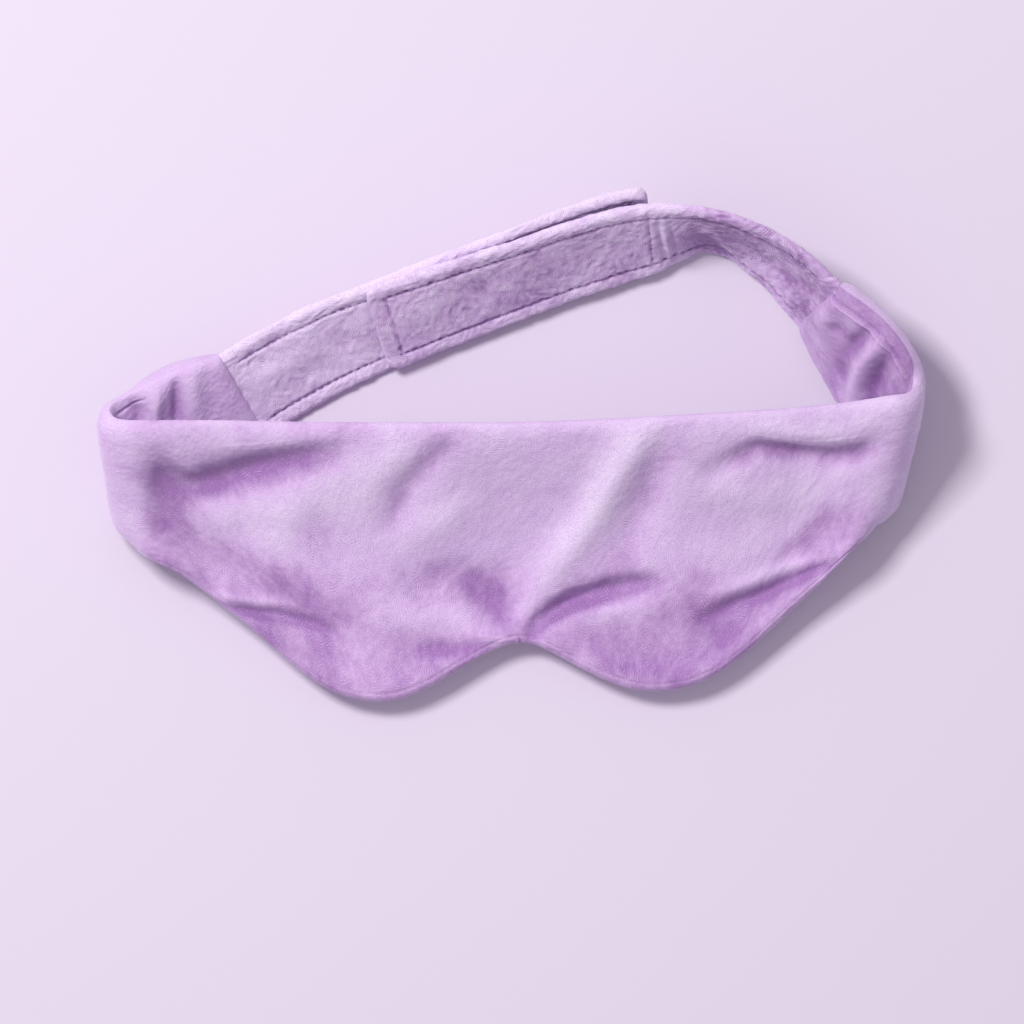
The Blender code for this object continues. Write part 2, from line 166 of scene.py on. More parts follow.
def placed(point):
    """A listed point in metres, from the frame's origin under the middle of the mask."""
    return (np.array(point, float) - FRAME_CENTRE) * MM


def unit(vectors):
    """Vectors scaled to length one."""
    length = np.linalg.norm(vectors, axis=-1, keepdims=True)
    return vectors / np.maximum(length, 1e-12)


def smooth(value):
    """0 below 0, 1 above 1 and an even ease between them."""
    value = np.clip(value, 0.0, 1.0)
    return value * value * (3.0 - 2.0 * value)


def spline(points, places):
    """Points at the given station numbers on the smooth curve through the points."""
    last = len(points) - 1
    places = np.clip(np.asarray(places, float), 0.0, last)
    first = np.minimum(places.astype(int), last - 1)
    part = (places - first)[..., None]
    padded = np.vstack((2 * points[0] - points[1], points, 2 * points[-1] - points[-2]))
    p0, p1, p2, p3 = (padded[first + shift] for shift in range(4))
    linear = (p2 - p0) * part
    square = (2 * p0 - 5 * p1 + 4 * p2 - p3) * part ** 2
    cube = (3 * p1 - p0 - 3 * p2 + p3) * part ** 3
    return (2 * p1 + linear + square + cube) * 0.5


# Easing of the padded band's edges, in stations, and the station where they turn most sharply
EASE = 0.35
TIGHT_PLACE = 27.0


class Strip:
    """A strip of cloth between a top edge and a lower edge, read station by station."""

    def __init__(self, stations, flat_centre=None):
        self.tops = np.array([pair[0] for pair in stations])
        self.lows = np.array([pair[1] for pair in stations])
        self.flat_centre = flat_centre
        self.last = len(stations) - 1

    def middle(self, places, across):
        """Points of the middle surface."""
        low = self.edge(self.lows, places)
        top = self.edge(self.tops, places)
        across = np.asarray(across, float)
        made = low + (top - low) * across[..., None]
        if self.flat_centre is not None:
            share = smooth((7.0 - np.abs(places - self.flat_centre)) / 3.0)
            starts = (FLAT_SHARE - 0.07, FLAT_SHARE, FLAT_SHARE + 0.07)
            bent = sum((np.maximum(0.0, across - start) / (1.0 - start)) ** RISE_POWER
                       for start in starts) / len(starts)
            rise = across + share * (bent - across)
            made[..., 2] = low[..., 2] + (top[..., 2] - low[..., 2]) * rise
        return made

    def edge(self, points, places):
        """Points of one edge, eased over a third of a station on the padded band."""
        if self.flat_centre is None:
            return spline(points, places)
        wide = EASE * (1.0 + 1.3 * np.exp(-((places - TIGHT_PLACE) / 1.3) ** 2))
        reach = np.minimum(wide, np.minimum(places, self.last - places))
        sides = spline(points, places - reach) + spline(points, places + reach)
        return spline(points, places) * 0.4 + sides * 0.3

    def normal(self, places, across):
        """Directions of the outer face."""
        step = 0.02 if self.flat_centre is None else EASE
        along = self.middle(places + step, across) - self.middle(places - step, across)
        up = self.middle(places, across + 0.02) - self.middle(places, across - 0.02)
        return unit(np.cross(along, up))

    def ruling(self, place):
        """Direction from the lower edge to the top edge."""
        return unit(spline(self.tops, place) - spline(self.lows, place))

    def even_places(self, start, stop, spacing, across=0.5):
        """Station numbers a steady distance apart."""
        fine = np.linspace(start, stop, 1200)
        line = self.middle(fine, np.full_like(fine, across))
        run = np.concatenate(((0.0,), np.cumsum(np.linalg.norm(np.diff(line, axis=0), axis=1))))
        count = max(3, int(round(run[-1] / spacing)) + 1)
        return np.interp(np.linspace(0.0, run[-1], count), run, fine), run[-1]


def fold_stations(axis, outward, total_angle):
    """Stations round a curled end, from where the panel enters the curl, in four steps."""
    top = placed(axis[0])
    low = placed(axis[1])
    ruling = unit(top - low)
    side = np.array((outward, 0.0, 0.0))
    side = unit(side - ruling * side.dot(ruling))
    front = np.cross(side, ruling) * outward
    made = []
    for step in range(5):
        angle = total_angle * step / 4.0
        ray = front * math.cos(angle) + side * math.sin(angle)
        made.append((top + ray * FOLD_TOP_RADIUS * MM, low + ray * FOLD_LOW_RADIUS * MM))
    return made


def strap_stations(rows, inward):
    """Top and lower edge points of a leaning strap; inward is the side it leans to."""
    plan = [placed((row[0], row[1], 0.0)) for row in rows]
    made = []
    for index, row in enumerate(rows):
        along = unit(plan[min(index + 1, len(plan) - 1)] - plan[max(index - 1, 0)])
        across = np.cross((0.0, 0.0, 1.0), along) * inward
        lean = math.radians(row[3])
        low = plan[index] + across * STRAP_WIDTH * MM * math.cos(lean)
        low[2] = row[2] * MM
        top = plan[index].copy()
        top[2] = low[2] + STRAP_WIDTH * MM * math.sin(lean)
        made.append((top, low))
    return made


def outer_neighbour(strip, start):
    """Stations of the strap part that lies behind the closure tab, from its tip on."""
    made = []
    for index in range(start, strip.last + 1):
        normal = strip.normal(np.array(float(index)), np.array(0.5))
        step = index - start
        shift = strip.ruling(float(index)) * CLOSURE_SLIDE[step] + normal * CLOSURE_REACH[step]
        shift = shift * MM
        made.append((strip.tops[index] + shift, strip.lows[index] + shift))
    return made


def placed_pairs(rows):
    """Stations given in millimetres as pairs of points in metres."""
    return [(placed(top), placed(low)) for top, low in rows]


RIGHT_ROWS = strap_stations(RIGHT_STRAP + CLOSURE_TAB, 1.0)
LEFT_ROWS = strap_stations(LEFT_STRAP_START, -1.0)
RIGHT_STRIP = Strip(RIGHT_ROWS)
LEFT_STRIP = Strip(outer_neighbour(RIGHT_STRIP, PEEL_PLACE) + LEFT_ROWS[::-1])
CENTRE_PLACE = len(LEFT_PANEL) + 5 + len(LEFT_WING) + 1
LEFT_SIDE = (placed_pairs(LEFT_PANEL) + fold_stations(LEFT_FOLD_AXIS, -1.0, LEFT_FOLD_ANGLE)
             + placed_pairs(LEFT_WING) + [LEFT_ROWS[0]])
RIGHT_SIDE = (placed_pairs(RIGHT_PANEL) + fold_stations(RIGHT_FOLD_AXIS, 1.0, RIGHT_FOLD_ANGLE)
              + placed_pairs(RIGHT_WING) + [RIGHT_ROWS[0]])
BAND = Strip(LEFT_SIDE[::-1] + placed_pairs([CENTRE]) + RIGHT_SIDE, CENTRE_PLACE)
LEFT_FOLD = CENTRE_PLACE - len(LEFT_PANEL) - 3
RIGHT_FOLD = CENTRE_PLACE + len(RIGHT_PANEL) + 3

GATHER_WIDTH = 0.45

# Folds in the cloth: height and width in millimetres, and the line that each runs along in plan; their
# heights also paint shade into hollows and highlight onto ridges
FRONT_FOLDS = (
    (-4.4, 5.5, ((-121, -11), (-108, -15.5), (-98, -13), (-86, -9.5), (-74, -7), (-60, -4))),
    (-1.6, 7.0, ((-119, -9), (-118, -20), (-114, -31))),
    (0.7, 4.0, ((-110, -3), (-94, 0), (-76, 2), (-60, 4))),
    (1.0, 6.0, ((-112, -30), (-98, -25), (-82, -22), (-62, -18), (-54, -9))),
    (-3.2, 4.0, ((66, -10), (74, -6), (82, -2), (92, -3.4), (104, -5), (114, -4.2), (124, -1), (131, 4))),
    (1.4, 4.0, ((78, 4.5), (92, 3.4), (106, 3.0), (120, 5))),
    (1.2, 6.0, ((56, -15), (80, -17.5), (98, -16), (114, -21))),
    (3.4, 6.5, ((43, 8), (38, -4), (32, -14), (26, -24), (19, -34), (12, -43), (5, -53))),
    (-2.0, 6.0, ((50, 0), (46, -14), (40, -28), (34, -40))),
    (-4.9, 3.5, ((46, -46.5), (34, -49), (26, -50.5), (19, -52.5), (13, -56), (8, -60), (5, -66))),
    (1.4, 5.0, ((50, -53), (30, -56), (16, -60), (9, -63))),
    (-1.8, 4.5, ((-20, 2), (-28, -7), (-35, -15), (-41, -28))),
    (1.8, 7.0, ((-34, 2), (-46, -10), (-52, -22))),
    (1.3, 8.0, ((-66, -12), (-76, -26), (-84, -40))),
    (1.6, 6.0, ((-40, -33), (-28, -28), (-16, -20))),
    (-2.0, 6.0, ((-34, -46), (-22, -43), (-14, -46), (-9, -52), (-4, -58), (-0.5, -65))),
    (1.2, 5.0, ((-44, -58), (-24, -59), (-7, -61))),
    (-1.8, 3.2, ((-30, -68.5), (-18, -69), (-6, -68))),
    (-2.4, 2.2, ((-99, -54.5), (-88, -56.3), (-78, -57.6), (-70, -59.5), (-61, -62.5))),
    (1.2, 2.2, ((-98, -51.5), (-86, -52.6), (-74, -54))),
    (-2.6, 2.6, ((106, -40.5), (94, -45), (86, -48.5), (76, -52.5), (63, -59))),
    (1.6, 3.0, ((103, -38), (90, -42), (78, -47.5), (64, -51))),
    (-1.0, 4.0, ((-104, -41), (-101, -50))),
    (-1.3, 6.0, ((72, -58), (66, -68))),
    (-0.9, 6.0, ((50, -72), (34, -74))),
    (1.0, 7.0, ((-58, -70), (-40, -74))),
)
# Fine gathers: first and last line of each set, how many, and their height, which also paints shade and
# highlight into the pile's tone
GATHERS = (
    (((-15, -63.6), (-0.5, -65.4)), ((-13, -66.4), (-0.5, -66.2)), 4, 0.45),
    (((3.5, -65.6), (22, -66.0)), ((3.5, -66.6), (20, -70.0)), 4, 0.45),
    (((78, 3.0), (98, 0.6), (124, 3.2)), ((80, 0.8), (99, -1.6), (120, 0.4)), 4, 0.32),
    (((-98, -0.8), (-84, -0.2), (-70, 1.2)), ((-94, -2.6), (-84, -2.2), (-72, -0.6)), 3, 0.25),
    (((-97, -50.4), (-84, -51.0)), ((-96, -53.6), (-82, -54.4)), 4, 0.28),
    (((104, -36.5), (86, -42.0)), ((104, -39.5), (84, -46.0)), 4, 0.28),
    (((7, -52), (18, -48), (30, -46)), ((5, -58), (14, -52.5), (26, -49)), 5, 0.28),
)
# Folds of the wings' inner faces, whose heights also paint shade and highlight into the pile's tone
WING_FOLDS = (
    (-2.6, 2.6, ((-125, 4), (-124.5, 9), (-127, 13))),
    (1.6, 2.6, ((-120, 2), (-120, 10), (-119, 19))),
    (-3.0, 2.2, ((-112, 2), (-112, 10), (-112.4, 20))),
    (-1.0, 2.4, ((-116.4, 3), (-116, 14))),
    (1.6, 4.5, ((-105, 4), (-106, 14), (-107, 22))),
    (-1.3, 4.0, ((-100, 8), (-103, 16), (-102, 24))),
    (-4.0, 3.0, ((124.5, 29), (122, 24), (119.5, 18), (118.5, 9))),
    (2.4, 3.0, ((113, 8), (113.5, 20), (115.5, 26), (120, 32))),
    (-2.4, 2.8, ((118, 37), (113.5, 33), (110, 29))),
    (-1.6, 3.5, ((110, 27), (108, 20))),
    (1.8, 4.0, ((101, 48), (103, 40), (104, 30))),
    (-1.2, 3.0, ((108, 40), (106, 36))),
)
# Folds of the strap between the right wing and the closure tab; their heights also paint shade and highlight
# into the pile's tone
STRAP_FOLDS = (
    (-1.8, 4.0, ((58, 68), (68, 66), (76, 62))),
    (1.8, 2.4, ((66, 72), (73, 66), (80, 60.5), (87, 56))),
    (-1.4, 2.4, ((78, 64), (86, 60), (93, 54))),
    (1.2, 3.0, ((88, 56), (92, 50), (95, 45))),
    (-1.2, 2.0, ((97, 55), (100, 51), (98, 46))),
    (-0.9, 0.9, ((47.5, 74), (49.5, 62))),
    (0.7, 0.9, ((49.5, 75), (51.5, 62))),
    (-0.9, 0.9, ((51.5, 74), (53.5, 63))),
    (-0.5, 5.0, ((-20, 46), (-6, 55), (6, 50))),
    (0.5, 6.0, ((-36, 42), (-24, 50))),
    (-0.5, 5.0, ((18, 66), (28, 60))),
)
# Folds of the left strap; their heights also paint shade and highlight into the pile's tone
LEFT_STRAP_FOLDS = (
    (-0.8, 4.0, ((-60, 38), (-54, 32))),
    (0.7, 5.0, ((-84, 20), (-74, 28), (-66, 34))),
    (-0.7, 3.0, ((-90, 26), (-84, 28))),
    (-0.6, 3.0, ((-72, 24), (-62, 26))),
)


def stroke(points, line, width):
    """1 on a line drawn in plan, falling to 0 a width away, softer towards its ends."""
    line = (np.array(line, float) - FRAME_CENTRE[:2]) * MM
    nearest = np.full(points.shape[:-1], 1e9)
    fade = np.zeros(points.shape[:-1])
    lengths = np.linalg.norm(np.diff(line, axis=0), axis=1)
    run = np.concatenate(((0.0,), np.cumsum(lengths)))
    for index, length in enumerate(lengths):
        step = (line[index + 1] - line[index]) / length
        reach = (points[..., :2] - line[index]) @ step
        clipped = np.clip(reach, 0.0, length)
        offset = points[..., :2] - line[index] - clipped[..., None] * step
        distance = np.linalg.norm(offset, axis=-1)
        closer = distance < nearest
        nearest = np.where(closer, distance, nearest)
        place = (run[index] + clipped) / run[-1]
        fade = np.where(closer, np.sin(np.pi * np.clip(place * 0.84 + 0.08, 0, 1)) ** 0.7, fade)
    return np.exp(-(nearest / (width * MM)) ** 2) * fade


def value_noise(points, scale, seed):
    """Smooth noise between -1 and 1 with cells of the given size in metres."""
    cell = points / scale
    base = np.floor(cell).astype(np.int64)
    part = cell - base
    part = part * part * (3.0 - 2.0 * part)
    total = np.zeros(points.shape[:-1])
    for corner in range(8):
        shift = np.array([(corner >> axis) & 1 for axis in range(3)])
        key = base + shift
        mixed = key[..., 0] * 374761393 + key[..., 1] * 668265263 + key[..., 2] * 2147483647
        mixed = (mixed + seed * 974711) & 0xFFFFFFFF
        mixed = ((mixed ^ (mixed >> 13)) * 1274126177) & 0xFFFFFFFF
        value = ((mixed ^ (mixed >> 16)) & 0xFFFF) / 32767.5 - 1.0
        weight = np.prod(np.where(shift == 1, part, 1.0 - part), axis=-1)
        total += value * weight
    return total


def shag(cloth, seed):
    """Tufts of plush between -1 and 1: short strokes whose direction changes from patch to patch."""
    flat = np.concatenate((cloth * 0.1, np.zeros(cloth.shape[:-1] + (1,))), axis=-1)
    total = np.zeros(cloth.shape[:-1])
    weights = np.zeros(cloth.shape[:-1])
    for turn in range(4):
        angle = math.radians(45.0 * turn + 15.0)
        along = flat[..., 0] * math.cos(angle) + flat[..., 1] * math.sin(angle)
        aside = flat[..., 1] * math.cos(angle) - flat[..., 0] * math.sin(angle)
        stretched = np.stack((along * 0.36, aside, aside * 0.0), axis=-1)
        weight = smooth(0.5 + 1.6 * value_noise(flat, 0.007, seed + turn))
        total += weight * value_noise(stretched, 0.00105, seed + 10 + turn)
        weights += weight ** 2
    return total / np.sqrt(weights + 0.05)


def between(first, last, count):
    """Lines evenly spaced from the first to the last."""
    first = np.array(first, float)
    last = np.array(last, float)
    return [first + (last - first) * step / (count - 1) for step in range(count)]


def fold_heights(points, folds, gathers=()):
    """Height of the folds at each point, in metres."""
    total = np.zeros(points.shape[:-1])
    for height, width, line in folds:
        total += height * MM * stroke(points, line, width)
    for first, last, count, height in gathers:
        for line in between(first, last, count):
            total += height * MM * stroke(points, line, GATHER_WIDTH)
    return total


def pile_noise(points, height):
    """Unevenness of plush: soft swells with small tufts on them."""
    swell = value_noise(points, 0.0045, 3) + 0.6 * value_noise(points, 0.0022, 5)
    tuft = value_noise(points, 0.0011, 7)
    return height * (0.5 * swell + 0.7 * tuft)


def linked(name, data):
    """An object at the origin that holds the data."""
    made = bpy.data.objects.new(name, data)
    bpy.context.scene.collection.objects.link(made)
    return made


def new_object(name, vertices, faces, cloth, tone_and_painted_light, normals):
    """A mesh object at the origin, shaded smooth, with a cloth UV map and an attribute of pile tone that
    carries painted shade and highlight.
    """
    mesh = bpy.data.meshes.new(name)
    mesh.from_pydata(vertices.tolist(), [], faces)
    mesh.update()
    layer = mesh.uv_layers.new(name="cloth")
    index = np.zeros(len(mesh.loops), np.int32)
    mesh.loops.foreach_get("vertex_index", index)
    layer.data.foreach_set("uv", cloth[index].astype(np.float32).ravel())
    attribute = mesh.attributes.new("pile_tone_and_painted_light", "FLOAT", "POINT")
    attribute.data.foreach_set("value", tone_and_painted_light.astype(np.float32))
    mesh.shade_smooth()
    if normals is not None:
        mesh.normals_split_custom_set_from_vertices(normals.tolist())
    return linked(name, mesh)


def ring_faces(rings, around):
    """Quads between closed rings of points."""
    faces = []
    for ring in range(rings - 1):
        base = ring * around
        for step in range(around):
            after = (step + 1) % around
            faces.append((base + step, base + step + around, base + after + around, base + after))
    return faces


def tube_object(name, rings, uv, tone_and_painted_light, normals=None):
    """A closed tube through rings of points, with a polygon closing each end."""
    count, around = rings.shape[:2]
    faces = ring_faces(count, around)
    faces.append(tuple(range(around)))
    faces.append(tuple(range(count * around - 1, (count - 1) * around - 1, -1)))
    if normals is not None:
        normals = normals.reshape(-1, 3)
    return new_object(name, rings.reshape(-1, 3), faces, uv.reshape(-1, 2), tone_and_painted_light.ravel(), normals)


def grid_normals(rings):
    """Outward normals of rings of points, closed around and open along."""
    around = np.roll(rings, -1, axis=1) - np.roll(rings, 1, axis=1)
    along = np.gradient(rings, axis=0)
    return unit(np.cross(along, around))


def edge_spread(count):
    """Numbers from 0 to 1 that crowd towards both ends."""
    even = np.linspace(0.0, 1.0, count)
    return even - 0.72 * np.sin(2.0 * np.pi * even) / (2.0 * np.pi)


def crown(across):
    """Profile of the stuffing: a full roll at the top edge and a slimmer sewn one below."""
    from_middle = np.abs(2.0 * across - 1.0)
    top = np.sqrt(np.maximum(0.0, 1.0 - from_middle ** 7))
    low = np.sqrt(np.maximum(0.0, 1.0 - from_middle ** 9))
    share = smooth((across - 0.35) / 0.3)
    return low + (top - low) * share


LOBE_LIFT = 6.0
# Fullness of the lower edge: how far it bulges out, around which station, over how many
LOW_EDGE_REACH = ((4.6, 9.2, 1.0), (3.0, 12.8, 2.0), (2.0, 19.0, 1.7), (4.4, 21.7, 1.4))
RIGHT_FOLD_TILT = 5.0
SEAM_INSET = 2.6
SEAM_WIDTH = 0.55
RIM_PLACE = 5.2
TABLE_GAP = 0.2
BAND_ROWS = 150
LAYER_STEPS = 90
LAYER_ROWS = 44


def line_at(distance, middle, width):
    """1 on a line at the given distance in millimetres, falling off over its width."""
    return np.exp(-((distance / MM - middle) / width) ** 2)


def band_surfaces(sizes, places, across):
    """Outer and skin faces of the padded band, each with its pile tone carrying painted shade and painted
    highlight.
    """
    place_grid, across_grid = np.meshgrid(places, across, indexing="ij")
    middle = BAND.middle(place_grid, across_grid)
    normal = BAND.normal(place_grid, across_grid)
    height = np.linalg.norm(spline(BAND.tops, place_grid) - spline(BAND.lows, place_grid), axis=-1)
    from_low = across_grid * height
    from_top = (1.0 - across_grid) * height
    panel = smooth((7.2 - np.abs(place_grid - CENTRE_PLACE)) / 1.2)
    middle[..., 2] += LOBE_LIFT * MM * panel * np.exp(-(from_low / (9.0 * MM)) ** 2)
    nose = np.exp(-((place_grid - CENTRE_PLACE) / 1.3) ** 2)
    eyes = smooth((6.4 - np.abs(place_grid - CENTRE_PLACE)) / 2.5) * (1.0 - 0.7 * nose)
    near_low = np.exp(-(from_low / (14.0 * MM)) ** 2)
    for reach, place, spread in LOW_EDGE_REACH:
        middle[..., 1] -= reach * MM * near_low * np.exp(-((place_grid - place) / spread) ** 2)
    tilt = np.exp(-((place_grid - RIGHT_FOLD) / 2.4) ** 2) * (1.0 - across_grid) ** 1.3
    middle[..., 0] -= RIGHT_FOLD_TILT * MM * tilt
    end = np.minimum(place_grid, BAND.last - place_grid)
    round_end = 0.30 + 0.70 * np.sqrt(1.0 - (1.0 - np.clip(end / 0.45, 0.0, 1.0)) ** 2)
    away = np.minimum(np.abs(place_grid - LEFT_FOLD), np.abs(place_grid - RIGHT_FOLD))
    pressed = 1.0 - 0.62 * smooth((5.0 - away) / 3.0)
    pinch = smooth((3.2 - np.abs(place_grid - RIGHT_FOLD - 1.5)) / 2.0) * smooth((across_grid - 0.5) / 0.3)
    pressed = pressed - 0.26 * pinch
    swell = crown(across_grid) * round_end
    wing = 1.0 - smooth((10.6 - np.abs(place_grid - CENTRE_PLACE)) / 1.4)
    edge = np.clip(crown(across_grid) * 1.15, 0.0, 1.0)
    rise = np.clip(crown(across_grid) * 2.5, 0.3, 1.0)

    dome = sizes.eye_dome * eyes * np.exp(-((across_grid - 0.38) / 0.22) ** 2) * crown(across_grid)
    outer = middle + normal * (sizes.front_crown * swell + dome)[..., None]
    left_swell = np.exp(-((place_grid - 2.2) / 1.6) ** 2) * 4.2 * MM
    right_swell = np.exp(-((place_grid - 30.0) / 2.4) ** 2) * 1.5 * MM
    fold = fold_heights(outer, FRONT_FOLDS, GATHERS) * panel * edge
    # Painted shade in the folds' hollows and painted highlight on their ridges, painted shade over the lower
    # lobes, and the left half of the panel made darker
    outer_tone_and_painted_light = 0.56 + 150.0 * fold - 0.36 * smooth((0.60 - across_grid) / 0.36) * panel
    outer_tone_and_painted_light -= 0.15 * smooth((CENTRE_PLACE - 1.0 - place_grid) / 3.0) * smooth((across_grid - 0.2) / 0.2)
    fold += (left_swell + right_swell) * smooth((across_grid - 0.3) / 0.5) * edge
    seam_pull = 0.30 + 0.14 * value_noise(outer, 0.012, 29)
    fold -= seam_pull * MM * line_at(from_low, SEAM_INSET, SEAM_WIDTH) * panel
    fold += pile_noise(outer, sizes.pile) * rise
    outer = outer + normal * fold[..., None]

    skin = middle - normal * (sizes.skin_crown * swell * pressed)[..., None]
    fold = fold_heights(skin, WING_FOLDS) * wing * edge
    on_right = smooth((place_grid - 27.4) / 1.2)
    rim = line_at(from_top, RIM_PLACE, 0.55) - 0.8 * line_at(from_top, RIM_PLACE - 1.5, 0.6)
    rim -= 0.7 * line_at(from_top, RIM_PLACE + 1.4, 0.5)
    on_left = smooth((6.6 - place_grid) / 0.8) * smooth((place_grid - 3.2) / 1.2)
    rim_left = -line_at(from_top, RIM_PLACE - 1.0, 0.6)
    fold += MM * (on_right * rim + 0.9 * on_left * rim_left) * wing
    # Painted shade over the right wing's inner face, and painted shade and highlight in the wings' folds
    skin_tone_and_painted_light = 0.50 - 0.34 * smooth(place_grid - RIGHT_FOLD) + 110.0 * fold
    fold += pile_noise(skin, sizes.pile) * rise
    skin = skin - normal * fold[..., None]
    skin[..., 2] = np.maximum(skin[..., 2], TABLE_GAP * MM)
    outer[..., 2] = np.maximum(outer[..., 2], TABLE_GAP * MM)
    return outer, skin, outer_tone_and_painted_light, skin_tone_and_painted_light


def cloth_map(rings, length):
    """Cloth coordinates of rings, a tenth of a metre to the unit."""
    steps = np.linalg.norm(np.diff(rings, axis=1), axis=2).mean(axis=0)
    around = np.concatenate(((0.0,), np.cumsum(steps)))
    run = np.linspace(0.0, length, len(rings))
    return np.stack(np.broadcast_arrays(run[:, None], around[None, :]), axis=-1) * 10.0


def band_rings(sizes):
    """Rings of the padded band, with its cloth coordinates and its pile tone carrying painted shade and
    highlight.
    """
    places, length = BAND.even_places(0.0, float(BAND.last), sizes.grid)
    across = edge_spread(BAND_ROWS)
    outer, skin, outer_tone_and_painted_light, skin_tone_and_painted_light = band_surfaces(sizes, places, across)
    rings = np.concatenate((outer, skin[:, -2:0:-1]), axis=1)
    tone_and_painted_light = np.concatenate((outer_tone_and_painted_light, skin_tone_and_painted_light[:, -2:0:-1]), axis=1)
    cloth = cloth_map(rings, length)
    tufts = shag(cloth, 41)
    rings = rings + grid_normals(rings) * (sizes.tuft * 0.25 * tufts)[..., None]
    rings[..., 2] = np.maximum(rings[..., 2], TABLE_GAP * MM)
    # Random tone, and a little painted highlight on raised tufts and painted shade between them
    tone_and_painted_light = tone_and_painted_light + 0.10 * value_noise(rings, 0.020, 11) + 0.08 * value_noise(rings, 0.008, 13) + 0.06 * tufts
    return places, rings, cloth, np.clip(tone_and_painted_light, 0.0, 1.0)


def layer_object(name, sizes, places, across, low_share, high_share):
    """A layer of stuffing between the skin face (share 0) and the outer face (share 1)."""
    steps = np.linspace(places[0], places[1], LAYER_STEPS)
    rows = across[0] + (across[1] - across[0]) * edge_spread(LAYER_ROWS)
    outer, skin, _, _ = band_surfaces(sizes, steps, rows)
    step, row = np.arange(LAYER_STEPS), np.arange(LAYER_ROWS)
    along = np.clip(np.minimum(step, step[::-1]) / 6.0, 0.04, 1.0)
    over = np.clip(np.minimum(row, row[::-1]) / 7.0, 0.0, 1.0)
    full = np.sqrt(1.0 - (1.0 - along[:, None]) ** 2) * np.sqrt(1.0 - (1.0 - over[None, :]) ** 2)
    centre = (low_share + high_share) / 2.0
    half = (high_share - low_share) / 2.0 * full
    upper = skin + (outer - skin) * (centre + half)[..., None]
    lower = skin + (outer - skin) * (centre - half)[..., None]
    rings = np.concatenate((upper, lower[:, -2:0:-1]), axis=1)
    return tube_object(name, rings, cloth_map(rings, 0.1), np.full(rings.shape[:2], 0.5))


def node_group(name, inputs, outputs):
    """An empty shader group with the given sockets, and its input and output nodes."""
    group = bpy.data.node_groups.new(name, "ShaderNodeTree")
    for label, kind, default in inputs:
        socket = group.interface.new_socket(label, in_out="INPUT", socket_type=kind)
        socket.default_value = default
    for label, kind in outputs:
        group.interface.new_socket(label, in_out="OUTPUT", socket_type=kind)
    return group, group.nodes.new("NodeGroupInput"), group.nodes.new("NodeGroupOutput")


def feed(tree, node, inputs):
    """Sets a node's sockets to values, or links other nodes' sockets to them."""
    for label, value in inputs.items():
        if isinstance(value, bpy.types.NodeSocket):
            tree.links.new(value, node.inputs[label])
        else:
            node.inputs[label].default_value = value
    return node


def add_node(tree, kind, inputs, **settings):
    """A node with its settings made and its sockets fed."""
    node = tree.nodes.new(kind)
    for label, value in settings.items():
        setattr(node, label, value)
    return feed(tree, node, inputs)


def math_node(tree, operation, first, second):
    """A maths node fed by two sockets or numbers."""
    return add_node(tree, "ShaderNodeMath", {0: first, 1: second}, operation=operation).outputs[0]


def colour_mix(tree, factor, first, second):
    """A colour mix fed by sockets or colours."""
    sockets = {0: factor, 6: first, 7: second}
    return add_node(tree, "ShaderNodeMix", sockets, data_type="RGBA").outputs[2]


def noise_node(tree, vector, scale, detail=2.0, roughness=0.5):
    """A noise value."""
    sockets = {"Vector": vector, "Scale": scale, "Detail": detail, "Roughness": roughness}
    return add_node(tree, "ShaderNodeTexNoise", sockets).outputs["Fac"]


def range_node(tree, value, low, high, to_low, to_high):
    """A value moved from one range to another, and held inside it."""
    sockets = {"Value": value, "From Min": low, "From Max": high, "To Min": to_low, "To Max": to_high}
    return add_node(tree, "ShaderNodeMapRange", sockets).outputs["Result"]


def relief_node(tree, height, strength, distance):
    """The normal of a surface with relief."""
    sockets = {"Height": height, "Strength": strength, "Distance": distance}
    return add_node(tree, "ShaderNodeBump", sockets).outputs["Normal"]


